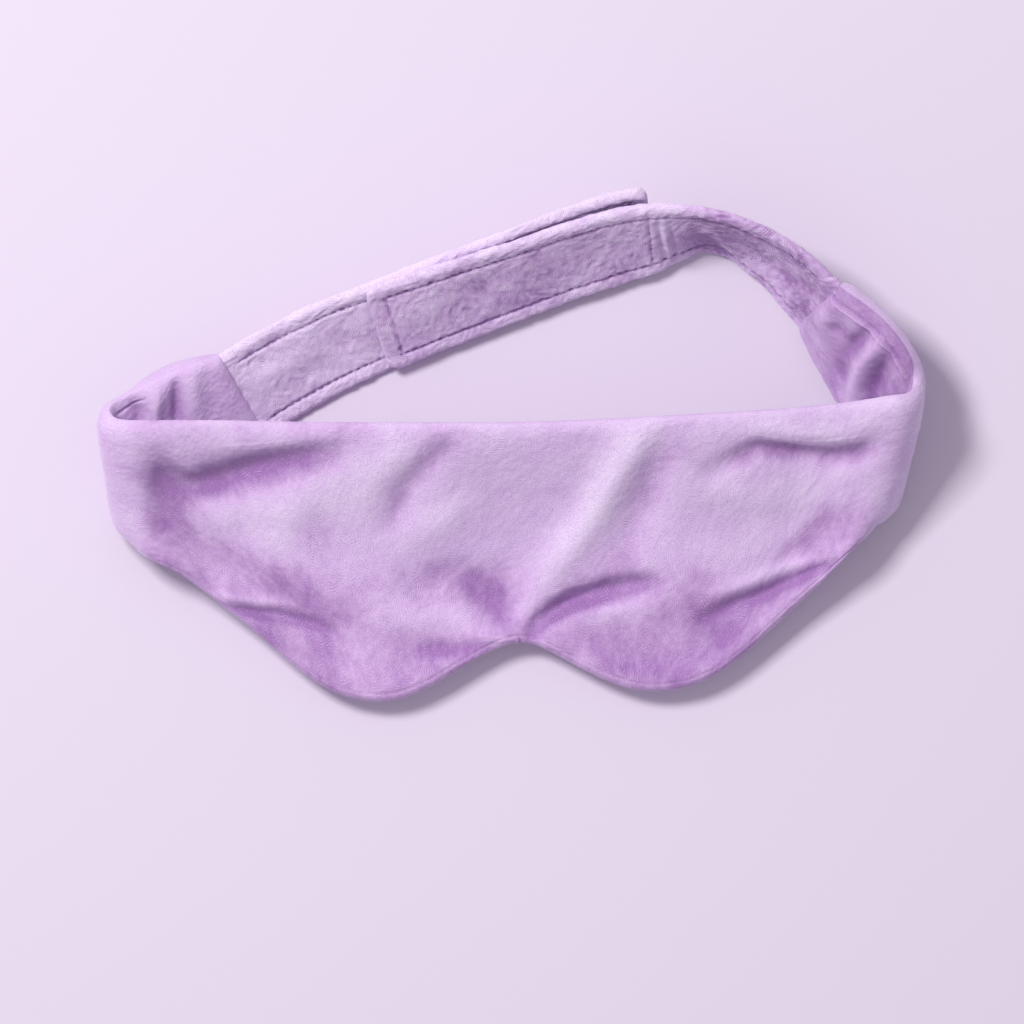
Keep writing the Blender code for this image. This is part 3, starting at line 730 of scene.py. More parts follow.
def plush_group():
    """Pile that swirls: strokes of fibre whose direction wanders, with tufts and hollows, painted shade in
    the hollows and painted highlight on the tufts' crests; the tone input also carries painted shade and
    highlight.
    """
    found = bpy.data.node_groups.get("plush_pile")
    if found:
        return found
    group, source, sink = node_group(
        "plush_pile",
        (("Cloth", "NodeSocketVector", (0.0, 0.0, 0.0)), ("Tone and painted light", "NodeSocketFloat", 0.5),
         ("Plush", "NodeSocketColor", (0.5, 0.4, 0.7, 1.0)),
         ("Light", "NodeSocketColor", (0.6, 0.5, 0.8, 1.0)),
         ("Dark tone and shade", "NodeSocketColor", (0.3, 0.2, 0.5, 1.0)),
         ("Fibre scale", "NodeSocketFloat", 72.0),
         ("Shag", "NodeSocketFloat", 1.0)),
        (("Colour", "NodeSocketColor"), ("Height", "NodeSocketFloat"),
         ("Roughness", "NodeSocketFloat")))
    cloth = source.outputs["Cloth"]
    wander = noise_node(group, cloth, 7.0, 1.5, 0.5)
    fibre = add_node(group, "ShaderNodeTexGabor",
                     {"Vector": cloth, "Scale": source.outputs["Fibre scale"], "Frequency": 2.0,
                      "Anisotropy": 0.9, "Orientation": math_node(group, "MULTIPLY", wander, 11.0)},
                     gabor_type="2D")
    patchy = range_node(group, noise_node(group, cloth, 11.0, 2.0, 0.5), 0.35, 0.65, 0.3, 1.0)
    patchy = math_node(group, "MULTIPLY", patchy,
                       range_node(group, source.outputs["Tone and painted light"], 0.25, 0.75, 1.0, 0.45))
    patchy = math_node(group, "MULTIPLY", patchy, source.outputs["Shag"])
    strokes = math_node(group, "SUBTRACT", fibre.outputs["Value"], 0.5)
    strokes = math_node(group, "MULTIPLY", math_node(group, "MULTIPLY", strokes, patchy), 0.6)
    tufts = math_node(group, "MULTIPLY", noise_node(group, cloth, 160.0, 3.0, 0.6), 0.5)
    height = math_node(group, "ADD", math_node(group, "ADD", strokes, tufts), 0.25)
    patch = noise_node(group, cloth, 6.0, 4.0, 0.6)
    # Low tone values mix in the darker colour as painted shade, high ones the lighter colour as painted
    # highlight; the noise patch adds random tone
    tone_and_painted_light = math_node(group, "ADD", source.outputs["Tone and painted light"],
                    range_node(group, patch, 0.3, 0.7, -0.16, 0.16))
    dark_share = range_node(group, tone_and_painted_light, 0.40, 0.0, 0.0, 1.0)
    light_share = range_node(group, tone_and_painted_light, 0.40, 1.0, 0.0, 1.0)
    base = colour_mix(group, light_share, source.outputs["Plush"], source.outputs["Light"])
    base = colour_mix(group, dark_share, base, source.outputs["Dark tone and shade"])
    # Painted shade in the hollows between the pile's tufts and painted highlight on their crests
    hollow_shade = range_node(group, height, 0.52, 0.22, 0.0, 0.75)
    crest_highlight = range_node(group, height, 0.52, 0.85, 0.0, 0.7)
    colour = colour_mix(group, hollow_shade, base, source.outputs["Dark tone and shade"])
    colour = colour_mix(group, crest_highlight, colour, source.outputs["Light"])
    rough = range_node(group, height, 0.0, 1.0, 0.95, 0.72)
    feed(group, sink, {"Colour": colour, "Height": height, "Roughness": rough})
    return group


def new_material(name):
    """A material with a Principled shader, and its tree."""
    made = bpy.data.materials.new(name)
    made.use_nodes = True
    return made, made.node_tree, made.node_tree.nodes["Principled BSDF"]


def rgba(colour):
    """A colour property as four numbers."""
    return (colour[0], colour[1], colour[2], 1.0)


def plush_material(name, colours, shag, relief_depth):
    """Short-pile plush; a larger shag gives longer, looser pile."""
    made, tree, shader = new_material(name)
    cloth = add_node(tree, "ShaderNodeUVMap", {}, uv_map="cloth")
    # Pile tone with painted shade and painted highlight, read from the mesh
    tone_and_painted_light = add_node(tree, "ShaderNodeAttribute", {}, attribute_name="pile_tone_and_painted_light")
    pile = add_node(tree, "ShaderNodeGroup",
                    {"Cloth": cloth.outputs["UV"], "Tone and painted light": tone_and_painted_light.outputs["Fac"],
                     "Plush": rgba(colours.plush), "Light": rgba(colours.plush_light_tone_and_highlight),
                     "Dark tone and shade": rgba(colours.plush_dark_tone_and_shade), "Shag": shag}, node_tree=plush_group())
    feed(tree, shader, {
        "Base Color": pile.outputs["Colour"],
        "Roughness": pile.outputs["Roughness"],
        "Normal": relief_node(tree, pile.outputs["Height"], 0.8, relief_depth),
        "Sheen Weight": 0.55,
        "Sheen Roughness": 0.45,
        "Sheen Tint": (0.93, 0.86, 1.0, 1.0),
        "Specular IOR Level": 0.15,
    })
    return made


def darker(colour, share):
    """A colour with each part scaled by a share."""
    return tuple(part * share for part in colour[:3]) + (1.0,)


def soft_material(name, colour, rough, grain_scale, grain_depth):
    """Matt cloth or thread with a fine grain."""
    made, tree, shader = new_material(name)
    place = add_node(tree, "ShaderNodeTexCoord", {})
    grain = noise_node(tree, place.outputs["Object"], grain_scale, 4.0)
    feed(tree, shader, {
        "Base Color": colour_mix(tree, grain, darker(colour, 0.72), rgba(colour)),
        "Normal": relief_node(tree, grain, 0.6, grain_depth),
        "Roughness": rough,
        "Sheen Weight": 0.2,
    })
    return made


def set_material(made, material):
    """One material for the whole piece."""
    made.data.materials.clear()
    made.data.materials.append(material)
    return made


# How each part of the band leaves its fold: bent body, other body, direction and reach
BENDS = (
    ("left_bend", "left_wing", (0.80, 0.42, -0.44), 0.0085),
    ("left_bend", "mask", (0.95, -0.08, 0.31), 0.0090),
    ("right_bend", "mask", (-0.98, 0.0, 0.20), 0.0085),
    ("right_bend", "right_wing", (-0.18, 0.56, -0.81), 0.0055),
)


def bend_beyond(made, cut_ring, bend, other, direction, reach):
    """Bakes the piece's placement into its mesh."""
    direction = unit(np.array(direction))
    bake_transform(made)


class MASK_OT_padded_band(Operator):
    """Makes the padded panel and its two curled wings"""
    bl_idname = "mask.padded_band"
    bl_label = "Padded panel and wings"

    def execute(self, context):
        sizes = context.scene.mask_sizes
        look = plush_material("lilac_plush", context.scene.mask_colours, 1.0, 0.0004)
        places, rings, uv, tone_and_painted_light = band_rings(sizes)
        normals = grid_normals(rings)
        cuts = [0] + [int(np.argmin(np.abs(places - cut)))
                      for cut in (LEFT_FOLD, CENTRE_PLACE, RIGHT_FOLD)] + [len(places) - 1]
        names = ("left_wing_pad", "left_panel_pad", "right_panel_pad", "right_wing_pad")
        made = []
        for name, first, last in zip(names, cuts[:-1], cuts[1:]):
            part = slice(first, last + 1)
            piece = tube_object(name, rings[part], uv[part], tone_and_painted_light[part], normals[part])
            made.append(set_material(piece, look))
        for piece, cut, bend in zip(made, (cuts[1], cuts[1], cuts[3], cuts[3]), BENDS):
            bend_beyond(piece, rings[cut], *bend)
        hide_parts("left_wing_cover", "left_wing_lining", "left_bend_cover", "left_bend_lining")
        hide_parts("front_cover", "face_lining")
        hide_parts("front_cover", "face_lining")
        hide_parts("right_wing_cover", "right_wing_lining", "right_bend_cover",
                    "right_bend_lining")
        return {"FINISHED"}


PATCH_RECESS = 0.45
PATCH_MARGIN = 0.0035
PATCH_FADE = 0.004
STRAP_STEP = 0.00055
STRAP_ROWS = 84
CORNER = 0.0050


def strap_half(sizes, from_edge, run, seams):
    """Half thickness of a sewn strap: rolled edges, and stitches that pull it in."""
    roll = np.clip(from_edge / 0.0024, 0.0, 1.0)
    profile = np.sqrt(np.maximum(0.0, 1.0 - (1.0 - roll) ** 2))
    bead = 1.0 + 0.28 * np.exp(-((from_edge - 0.0026) / 0.0022) ** 2)
    half = sizes.strap_half * profile * bead
    near = smooth((run - seams["first"] + 0.002) / 0.002) * smooth((seams["last"] + 0.002 - run) / 0.002)
    dip = line_at(from_edge, sizes.stitch_inset / MM, 0.62) * near
    for cross in seams["cross"]:
        inside = smooth((from_edge - sizes.stitch_inset + 0.001) / 0.001)
        dip = np.maximum(dip, line_at(run, cross / MM, 0.62) * inside)
    wave = 0.75 + 0.25 * np.cos(2.0 * np.pi * run / sizes.stitch_pitch)
    return half - sizes.groove * dip * wave, dip, profile


def end_round(run, length, seams):
    """Shrink of the width, and of the thickness, at a strap's free ends."""
    shrink = np.zeros_like(run)
    ends = np.ones_like(run)
    for gap, rounded in ((run, seams["round_start"]), (length - run, seams["round_stop"])):
        if rounded:
            inside = np.clip(1.0 - gap / CORNER, 0.0, 1.0)
            shrink = np.maximum(shrink, CORNER * (1.0 - np.sqrt(1.0 - inside ** 2)))
            ends = np.minimum(ends, np.sqrt(1.0 - (1.0 - np.clip(gap / 0.0022, 0.02, 1.0)) ** 2))
    return shrink, ends


def strap_rings(strip, sizes, seams, folds):
    """Rings of a sewn strap part, with its cloth coordinates and its pile tone carrying painted shade and
    highlight.
    """
    places, length = strip.even_places(0.0, float(strip.last), STRAP_STEP)
    half_across = edge_spread(STRAP_ROWS)
    across = np.concatenate((half_across, half_across[-2:0:-1]))
    sign = np.where(np.arange(len(across)) < len(half_across), 1.0, -1.0)
    place_grid, across_grid = np.meshgrid(places, across, indexing="ij")
    run = np.broadcast_to(np.linspace(0.0, length, len(places))[:, None], place_grid.shape)
    shrink, ends = end_round(run, length, seams)
    narrowed = 0.5 + (across_grid - 0.5) * (1.0 - 2.0 * shrink / (STRAP_WIDTH * MM))
    from_edge = (0.5 - np.abs(across_grid - 0.5)) * STRAP_WIDTH * MM
    middle = strip.middle(place_grid, narrowed)
    normal = strip.normal(place_grid, narrowed)
    half, dip, profile = strap_half(sizes, from_edge, run, seams)
    edge, way, side = seams["patch"]
    on_patch = smooth((edge - run) * way / PATCH_FADE)
    on_patch = on_patch * smooth((from_edge - PATCH_MARGIN) / 0.001) * (sign == side)
    half = half - PATCH_RECESS * MM * on_patch
    bend = -fold_heights(middle, folds) * profile
    made = middle + normal * (half * ends * sign + bend)[..., None]
    puff = 0.00038 * value_noise(made, 0.010, 21) + pile_noise(made, sizes.pile)
    made = made + normal * (puff * sign * np.clip(profile * ends, 0.2, 1.0))[..., None]
    cloth = cloth_map(made, length)
    tufts = shag(cloth, 61)
    made = made + grid_normals(made) * (sizes.tuft * tufts * np.clip(ends, 0.1, 1.0))[..., None]
    made[..., 2] = np.maximum(made[..., 2], TABLE_GAP * MM)
    # Painted shade in the strap's fold hollows and painted highlight on its ridges, painted shade in the
    # stitch grooves, and a painted highlight along both edges
    tone_and_painted_light = seams["tone_and_painted_light"] - 140.0 * bend - 0.40 * dip + 0.26 * np.exp(-(from_edge / 0.0045) ** 2)
    # Painted shade over the right strap between the wing and the closure tab
    tone_and_painted_light = tone_and_painted_light - seams["painted_shade"] * smooth((seams["painted_shade_until"] - run) / 0.02)
    # Random tone, and painted highlight on raised tufts with painted shade between them
    tone_and_painted_light = tone_and_painted_light + 0.22 * value_noise(made, 0.012, 17) + 0.14 * value_noise(made, 0.005, 19) + 0.26 * tufts
    return made, cloth, np.clip(tone_and_painted_light, 0.0, 1.0), length


TUCK = 2.6


def tucked_in(rings, uv, tone_and_painted_light):
    """A strap that reaches a little further at its first end, where the wing holds it."""
    step = unit((rings[0] - rings[2]).mean(axis=0)) * TUCK * MM
    first = rings[0].mean(axis=0) + (rings[0] - rings[0].mean(axis=0)) * 0.93 + step
    uv_first = uv[0] + (uv[0] - uv[2])
    return (np.concatenate((first[None], rings)), np.concatenate((uv_first[None], uv)),
            np.concatenate((tone_and_painted_light[:1], tone_and_painted_light)))


class MASK_OT_straps(Operator):
    """Makes the two strap parts and the closure tab"""
    bl_idname = "mask.straps"
    bl_label = "Straps"

    def execute(self, context):
        sizes = context.scene.mask_sizes
        look = plush_material("lilac_strap_plush", context.scene.mask_colours, 1.7, 0.0007)
        tab_run = RIGHT_STRIP.even_places(0.0, float(PEEL_PLACE), 0.001)[1]
        whole = RIGHT_STRIP.even_places(0.0, float(RIGHT_STRIP.last), 0.001)[1]
        # The right strap's base tone, and painted shade over the strap between the wing and the tab
        seams = {"first": 0.006, "last": whole - 0.006, "round_start": False, "round_stop": True,
                 "cross": (tab_run + 0.001, whole - sizes.stitch_inset),
                 "patch": (tab_run + 0.004, -1.0, 1.0), "tone_and_painted_light": 0.62, "painted_shade": 0.46,
                 "painted_shade_until": tab_run}
        rings, uv, tone_and_painted_light, length = strap_rings(RIGHT_STRIP, sizes, seams, STRAP_FOLDS)
        rings, uv, tone_and_painted_light = tucked_in(rings, uv, tone_and_painted_light)
        right = tube_object("right_strap_and_tab", rings, uv, tone_and_painted_light)
        set_material(right, look)
        peel = RIGHT_STRIP.middle(np.array(float(PEEL_PLACE)), np.array(0.5))
        ahead = RIGHT_STRIP.middle(np.array(PEEL_PLACE + 0.1), np.array(0.5))
        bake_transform(right)
        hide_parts("right_strap_outer_ply", "right_strap_skin_ply",
                    "closure_tab_outer_ply", "closure_tab_skin_ply")
        whole = LEFT_STRIP.even_places(0.0, float(LEFT_STRIP.last), 0.001)[1]
        # Painted light: the left strap gets a lighter tone than the right strap, to offset the shade on its
        # face
        seams = {"first": 0.006, "last": whole - 0.004, "round_start": True, "round_stop": False,
                 "cross": (sizes.stitch_inset,),
                 "patch": (0.094, 1.0, -1.0), "tone_and_painted_light": 0.98, "painted_shade": 0.0, "painted_shade_until": 0.0}
        rings, uv, tone_and_painted_light, length = strap_rings(LEFT_STRIP, sizes, seams, LEFT_STRAP_FOLDS)
        rings, uv, tone_and_painted_light = (part[::-1] for part in tucked_in(rings[::-1], uv[::-1], tone_and_painted_light[::-1]))
        left = tube_object("left_strap", rings, uv, tone_and_painted_light)
        set_material(left, look)
        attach(left, "left_wing")
        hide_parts("left_strap_outer_ply", "left_strap_skin_ply")
        return {"FINISHED"}


# Layers of stuffing: body, node that it stands for, stations, heights across, shares of depth
SHEET = ((0.14, 0.86), (0.50, 0.80))
WING = ((0.16, 0.84), (0.34, 0.66))
BAG = ((0.16, 0.84), (0.14, 0.44))
LAYERS = (
    ("wadding_layer", "mask", "wadding_sheet", (10.6, 21.4), SHEET),
    ("left_wing_wadding_layer", "left_wing", "left_wing_wadding", (1.0, 4.8), WING),
    ("right_wing_wadding_layer", "right_wing", "right_wing_wadding", (27.4, 31.8), WING),
    ("bead_bag_left_outer", "mask", "bead_pocket_left_outer", (11.1, 13.3), BAG),
    ("bead_bag_left_inner", "mask", "bead_pocket_left_inner", (13.5, 15.9), BAG),
    ("bead_bag_right_inner", "mask", "bead_pocket_right_inner", (16.1, 18.5), BAG),
    ("bead_bag_right_outer", "mask", "bead_pocket_right_outer", (18.7, 20.9), BAG),
)


class MASK_OT_stuffing(Operator):
    """Makes the wadding and the four bead bags between the cloth faces"""
    bl_idname = "mask.stuffing"
    bl_label = "Wadding and bead bags"

    def execute(self, context):
        sizes = context.scene.mask_sizes
        wadding = soft_material("wadding_fibre", (0.86, 0.85, 0.84), 0.95, 700.0, 0.0004)
        cotton = soft_material("bead_bag_cotton", (0.78, 0.72, 0.62), 0.95, 1600.0, 0.0004)
        for name, body, node, places, (across, shares) in LAYERS:
            made = layer_object(name, sizes, places, across, *shares)
            bag = name.startswith("bead")
            set_material(made, cotton if bag else wadding)
            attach(made, body)
            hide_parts(node)
        return {"FINISHED"}


def geometry_tree(name, inputs):
    """An empty geometry tree with the given inputs, and its input and output nodes."""
    tree = bpy.data.node_groups.new(name, "GeometryNodeTree")
    tree.interface.new_socket("Geometry", in_out="INPUT", socket_type="NodeSocketGeometry")
    for label, kind in inputs:
        tree.interface.new_socket(label, in_out="INPUT", socket_type=kind)
    tree.interface.new_socket("Geometry", in_out="OUTPUT", socket_type="NodeSocketGeometry")
    return tree, tree.nodes.new("NodeGroupInput"), tree.nodes.new("NodeGroupOutput")


def finish_tree(tree, source, sink, points, shape, rotation, scale=None):
    """Copies a shape on points and ends in Realize Instances, smooth shading and Set Material."""
    sockets = {"Points": points, "Instance": shape, "Rotation": rotation}
    if scale is not None:
        sockets["Scale"] = scale
    copies = add_node(tree, "GeometryNodeInstanceOnPoints", sockets)
    real = add_node(tree, "GeometryNodeRealizeInstances", {"Geometry": copies.outputs["Instances"]})
    even = add_node(tree, "GeometryNodeSetShadeSmooth", {"Geometry": real.outputs["Geometry"]})
    paint = add_node(tree, "GeometryNodeSetMaterial", {"Geometry": even.outputs["Geometry"],
                                                       "Material": source.outputs["Material"]})
    feed(tree, sink, {"Geometry": paint.outputs["Geometry"]})


def stitch_tree():
    """Stitches of one length, a pitch apart along curves."""
    found = bpy.data.node_groups.get("sewn_stitches")
    if found:
        return found
    tree, source, sink = geometry_tree("sewn_stitches", (
        ("Pitch", "NodeSocketFloat"), ("Length", "NodeSocketFloat"),
        ("Radius", "NodeSocketFloat"), ("Material", "NodeSocketMaterial")))
    spots = add_node(tree, "GeometryNodeCurveToPoints",
                     {"Curve": source.outputs["Geometry"], "Length": source.outputs["Pitch"]},
                     mode="LENGTH")
    turn = add_node(tree, "FunctionNodeAlignRotationToVector", {"Vector": spots.outputs["Tangent"]},
                    axis="Z")
    bead = add_node(tree, "GeometryNodeMeshUVSphere", {"Segments": 8, "Rings": 6, "Radius": 1.0})
    radius = source.outputs["Radius"]
    half = math_node(tree, "MULTIPLY", source.outputs["Length"], 0.5)
    size = add_node(tree, "ShaderNodeCombineXYZ", {"X": radius, "Y": radius, "Z": half})
    finish_tree(tree, source, sink, spots.outputs["Points"], bead.outputs["Mesh"],
                turn.outputs["Rotation"], size.outputs[0])
    return tree


def fastener_tree():
    """Small wire hooks or loops standing on points, turned at random."""
    found = bpy.data.node_groups.get("fastener_wires")
    if found:
        return found
    tree, source, sink = geometry_tree("fastener_wires", (
        ("Reach", "NodeSocketFloat"), ("Sweep", "NodeSocketFloat"), ("Wire", "NodeSocketFloat"),
        ("Turn", "NodeSocketFloat"), ("Material", "NodeSocketMaterial")))
    arc = add_node(tree, "GeometryNodeCurveArc",
                   {"Resolution": 7, "Radius": source.outputs["Reach"],
                    "Sweep Angle": source.outputs["Sweep"]})
    upright = (math.radians(90.0), 0.0, 0.0)
    stand = add_node(tree, "GeometryNodeTransform",
                     {"Geometry": arc.outputs["Curve"], "Rotation": upright})
    ring = add_node(tree, "GeometryNodeCurvePrimitiveCircle",
                    {"Resolution": 4, "Radius": source.outputs["Wire"]})
    wire = add_node(tree, "GeometryNodeCurveToMesh",
                    {"Curve": stand.outputs["Geometry"], "Profile Curve": ring.outputs["Curve"],
                     "Fill Caps": True})
    out = add_node(tree, "GeometryNodeInputNamedAttribute", {"Name": "out"},
                   data_type="FLOAT_VECTOR")
    face = add_node(tree, "FunctionNodeAlignRotationToVector",
                    {"Vector": out.outputs["Attribute"]}, axis="Z")
    spin = add_node(tree, "FunctionNodeRandomValue", {3: source.outputs["Turn"], "Seed": 5},
                    data_type="FLOAT")
    local = add_node(tree, "ShaderNodeCombineXYZ", {"Z": spin.outputs[1]})
    turned = add_node(tree, "FunctionNodeRotateRotation",
                      {"Rotation": face.outputs["Rotation"], "Rotate By": local.outputs[0]},
                      rotation_space="LOCAL")
    finish_tree(tree, source, sink, source.outputs["Geometry"], wire.outputs["Mesh"],
                turned.outputs["Rotation"])
    return tree


def grown(source, name, tree, values):
    """The plain mesh that a geometry tree makes from an object, which is then removed."""
    modifier = source.modifiers.new("made", "NODES")
    modifier.node_group = tree
    for item in tree.interface.items_tree:
        if item.in_out == "INPUT" and item.name in values:
            modifier[item.identifier] = values[item.name]
    evaluated = source.evaluated_get(bpy.context.evaluated_depsgraph_get())
    mesh = bpy.data.meshes.new_from_object(evaluated)
    mesh.name = name
    bpy.data.objects.remove(source)
    return linked(name, mesh)


def stitches_object(name, lines, sizes, material):
    """Stitches along each line of points."""
    curve = bpy.data.curves.new(name + "_path", "CURVE")
    curve.dimensions = "3D"
    for line in lines:
        spline_data = curve.splines.new("POLY")
        spline_data.points.add(len(line) - 1)
        flat = np.hstack((line, np.ones((len(line), 1))))
        spline_data.points.foreach_set("co", flat.ravel())
    path = linked(name + "_path", curve)
    values = {"Pitch": sizes.stitch_pitch, "Length": sizes.stitch_length,
              "Radius": sizes.thread, "Material": material}
    return grown(path, name, stitch_tree(), values)


THREAD_HEIGHT = 0.00088
SEAM_POINTS = 160


def strap_line(strip, start, stop, side):
    """Points on a strap's face from one (place, across) to another; side is 1 outside."""
    places = np.linspace(start[0], stop[0], SEAM_POINTS)
    across = np.linspace(start[1], stop[1], SEAM_POINTS)
    points = strip.middle(places, across)
    return points + strip.normal(places, across) * (side * THREAD_HEIGHT)


def strap_seams(strip, first, last, inset, side):
    """The two long lines of stitching of a strap between two stations."""
    return [strap_line(strip, (first, across), (last, across), side)
            for across in (inset, 1.0 - inset)]


def cross_seam(strip, place, inset, side):
    """The line of stitching across a strap at a station."""
    return strap_line(strip, (place, inset), (place, 1.0 - inset), side)


TAPE_LIFT = 0.00100
TAPE_DEPTH = 0.0004
TAPE_MARGIN = 5.0 / STRAP_WIDTH
TAPE_ROWS = 24
WIRE_PITCH = 0.0016
WIRE_ROWS = 17


def fastener_objects(name, strip, span, side, material, wire_values):
    """The tape of a fastener patch and the wires that stand on it."""
    places, length = strip.even_places(span[0], span[1], WIRE_PITCH)
    low, high = TAPE_MARGIN, 1.0 - TAPE_MARGIN
    rows = np.linspace(low + 0.02, high - 0.02, WIRE_ROWS)
    place_grid, across_grid = np.meshgrid(places[1:-1], rows, indexing="ij")
    normal = strip.normal(place_grid, across_grid)
    points = strip.middle(place_grid, across_grid) + normal * (side * (TAPE_LIFT + TAPE_DEPTH))
    spots = bpy.data.meshes.new(name + "_spots")
    spots.from_pydata(points.reshape(-1, 3).tolist(), [], [])
    out = spots.attributes.new("out", "FLOAT_VECTOR", "POINT")
    out.data.foreach_set("vector", (normal * side).astype(np.float32).ravel())
    carrier = linked(name + "_spots", spots)
    wires = grown(carrier, name + "_wires", fastener_tree(), dict(wire_values, Material=material))
    ring_across = np.concatenate((np.linspace(low, high, TAPE_ROWS), np.linspace(high, low, TAPE_ROWS)))
    level = np.repeat((TAPE_DEPTH, 0.0), TAPE_ROWS)
    place_grid, across_grid = np.meshgrid(places, ring_across, indexing="ij")
    normal = strip.normal(place_grid, across_grid)
    rings = strip.middle(place_grid, across_grid) + normal * (side * (TAPE_LIFT + level))[:, None]
    if side < 0:
        rings = rings[:, ::-1]
    tape = tube_object(name + "_tape", rings, cloth_map(rings, length), np.full(rings.shape[:2], 0.5))
    return set_material(tape, material), wires


class MASK_OT_fastener(Operator):
    """Makes the hook tape and the loop tape between the closure tab and the outer strap"""
    bl_idname = "mask.fastener"
    bl_label = "Hook and loop tapes"

    def execute(self, context):
        nylon = soft_material("hook_nylon", (0.50, 0.36, 0.62, 1.0), 0.45, 900.0, 0.0001)
        velour = soft_material("loop_velour", (0.60, 0.46, 0.72, 1.0), 0.85, 1400.0, 0.0003)
        hooks = {"Reach": 0.00026, "Sweep": math.radians(215.0), "Wire": 0.00006, "Turn": 0.5}
        loops = {"Reach": 0.00024, "Sweep": math.radians(320.0), "Wire": 0.00004, "Turn": 6.283}
        jobs = (
            ("left_wing", "hook_tape", "hook_patch", LEFT_STRIP, (0.5, 5.5), -1.0, nylon, hooks),
            ("closure_tab", "loop_tape", "loop_patch", RIGHT_STRIP,
             (PEEL_PLACE + 0.3, RIGHT_STRIP.last - 0.35), 1.0, velour, loops),
        )
        for body, slot, name, *patch in jobs:
            for made in fastener_objects(name, *patch):
                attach(made, body)
                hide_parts(name)
        return {"FINISHED"}


class MASK_OT_stitching(Operator):
    """Sews the straps, the tab, the right wing's rim and the nose tack"""
    bl_idname = "mask.stitching"
    bl_label = "Stitching"

    def execute(self, context):
        sizes = context.scene.mask_sizes
        thread = soft_material("sewing_thread", rgba(context.scene.mask_colours.thread), 0.6, 3000.0, 0.0001)
        inset = sizes.stitch_inset / (STRAP_WIDTH * MM)
        last = RIGHT_STRIP.last - 0.36
        first = PEEL_PLACE + 0.08
        tab = strap_seams(RIGHT_STRIP, first, last, inset, -1.0)
        tab += [cross_seam(RIGHT_STRIP, place, inset, -1.0) for place in (first, last)]
        right = strap_seams(RIGHT_STRIP, 0.4, PEEL_PLACE - 0.1, inset, -1.0)
        left = []
        for side in (-1.0, 1.0):
            left += strap_seams(LEFT_STRIP, 0.35, LEFT_STRIP.last - 0.25, inset, side)
            left.append(cross_seam(LEFT_STRIP, 0.35, inset, side))
        jobs = (
            ("tab_stitches", tab, "closure_tab", ("patch_stitching",)),
            ("right_strap_stitches", right, "right_wing", ("right_strap_stitching",)),
            ("left_strap_stitches", left, "left_wing", ("left_strap_stitching", "hook_patch_stitching")),
            ("wing_rim_stitches", self.rim_lines(sizes), "right_wing", ()),
            ("nose_tack_stitches", self.tack_lines(sizes), "mask", ("nose_tack",)),
        )
        for name, lines, body, nodes in jobs:
            made = stitches_object(name, lines, sizes, thread)
            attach(made, body)
            if nodes:
                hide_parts(*nodes)
        return {"FINISHED"}

    @staticmethod
    def rim_lines(sizes):
        """The line of stitching inside the right wing's raised seam."""
        places = np.linspace(28.0, 32.4, 90)
        height = np.linalg.norm(spline(BAND.tops, places) - spline(BAND.lows, places), axis=-1)
        across = 1.0 - (RIM_PLACE + 1.4) * MM / height
        made = []
        for place, row in zip(places, across):
            made.append(band_surfaces(sizes, np.array((place,)), np.array((row,)))[1][0, 0])
        return [np.array(made)]

    @staticmethod
    def tack_lines(sizes):
        """Short stitches that pinch the panel together over the nose."""
        made = []
        for start, stop in ((15.97, 16.03), (15.93, 16.05)):
            places = np.linspace(start, stop, 4)
            rows = np.array((0.012, 0.045))
            outer = band_surfaces(sizes, places, rows)[0]
            made.append(outer[1] + np.array((0.0, 0.0, 0.0001)))
        return made


# Camera straight above the mask, without perspective, and a soft key light up to the left of it
CAMERA_PLACE = (0.0004, -0.0235, 1.5)
CAMERA_WIDTH = 1.024 / 3.0
KEY_PLACE = (-0.84, 0.76, 1.72)
KEY_SIZE = 0.50
KEY_POWER = 36.0
KEY_COLOUR = (1.0, 0.975, 0.965)
SKY_COLOUR = (0.95, 0.93, 1.0, 1.0)


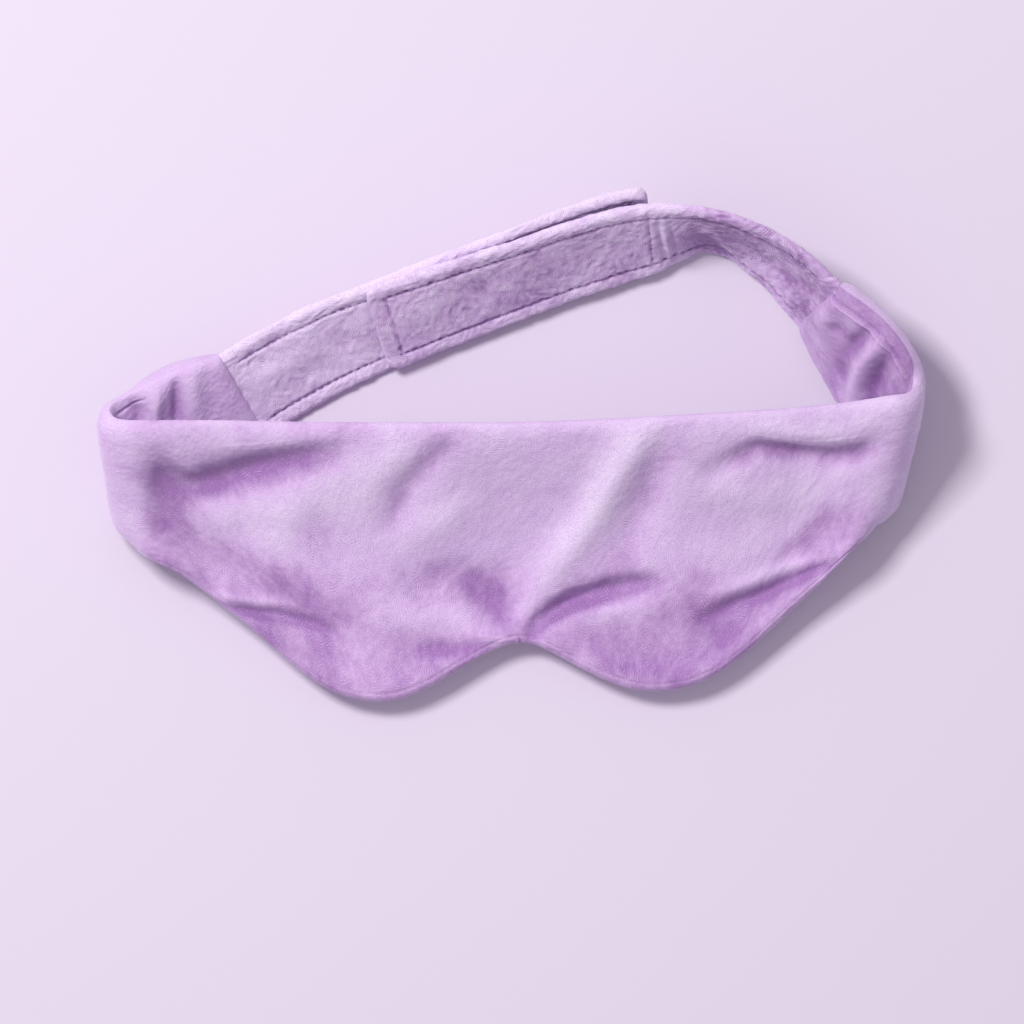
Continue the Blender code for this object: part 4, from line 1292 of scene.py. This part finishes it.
class MASK_OT_stage(Operator):
    """Makes the table, the light and the camera"""
    bl_idname = "mask.stage"
    bl_label = "Table, light and camera"

    def execute(self, context):
        colours = context.scene.mask_colours
        bpy.ops.mesh.primitive_plane_add(size=6.0, location=(0.0, 0.0, 0.0))
        floor = context.object
        floor.name = "table"
        paper, tree, shader = new_material("table_paper")
        place = add_node(tree, "ShaderNodeTexCoord", {})
        grain = noise_node(tree, place.outputs["Object"], 3.0)
        light = rgba(colours.floor)
        feed(tree, shader, {"Base Color": colour_mix(tree, grain, darker(light, 0.985), light),
                            "Roughness": 0.9, "Specular IOR Level": 0.1})
        set_material(floor, paper)
        world = context.scene.world or bpy.data.worlds.new("studio")
        context.scene.world = world
        world.use_nodes = True
        sky = world.node_tree.nodes["Background"]
        sky.inputs["Color"].default_value = SKY_COLOUR
        sky.inputs["Strength"].default_value = 0.50
        self.key_light()
        camera_data = bpy.data.cameras.new("camera")
        camera_data.type = "ORTHO"
        camera_data.ortho_scale = CAMERA_WIDTH
        camera_data.clip_end = 10.0
        camera = linked("camera", camera_data)
        camera.location = CAMERA_PLACE
        context.scene.camera = camera
        context.scene.view_settings.view_transform = "Standard"
        return {"FINISHED"}

    @staticmethod
    def key_light():
        """A square soft light that points at the mask."""
        data = bpy.data.lights.new("key_light", "AREA")
        data.size = KEY_SIZE
        data.energy = KEY_POWER
        data.color = KEY_COLOUR
        made = linked("key_light", data)
        made.location = KEY_PLACE
        made.rotation_euler = (-made.location).to_track_quat("-Z", "Y").to_euler()


class MASK_PT_panel(Panel):
    """Lists the mask's makers in the sidebar"""
    bl_label = "Sleep mask"
    bl_space_type = "VIEW_3D"
    bl_region_type = "UI"
    bl_category = "Sleep mask"

    def draw(self, context):
        for maker in MAKERS:
            self.layout.operator(maker.bl_idname)


MAKERS = (MASK_OT_padded_band, MASK_OT_stuffing, MASK_OT_straps, MASK_OT_fastener,
          MASK_OT_stitching, MASK_OT_stage)
CLASSES = (MaskSizes, MaskColours) + MAKERS + (MASK_PT_panel,)


def register():
    """Registers the classes and the scene's settings."""
    for one in CLASSES:
        bpy.utils.register_class(one)
    bpy.types.Scene.mask_sizes = PointerProperty(type=MaskSizes)
    bpy.types.Scene.mask_colours = PointerProperty(type=MaskColours)


def unregister():
    """Removes the classes and the scene's settings."""
    del bpy.types.Scene.mask_colours
    del bpy.types.Scene.mask_sizes
    for one in reversed(CLASSES):
        bpy.utils.unregister_class(one)


def main():
    """Registers the add-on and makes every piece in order."""
    register()
    bpy.ops.mask.padded_band()
    bpy.ops.mask.stuffing()
    bpy.ops.mask.straps()
    bpy.ops.mask.fastener()
    bpy.ops.mask.stitching()
    bpy.ops.mask.stage()


if __name__ == "__main__":
    main()
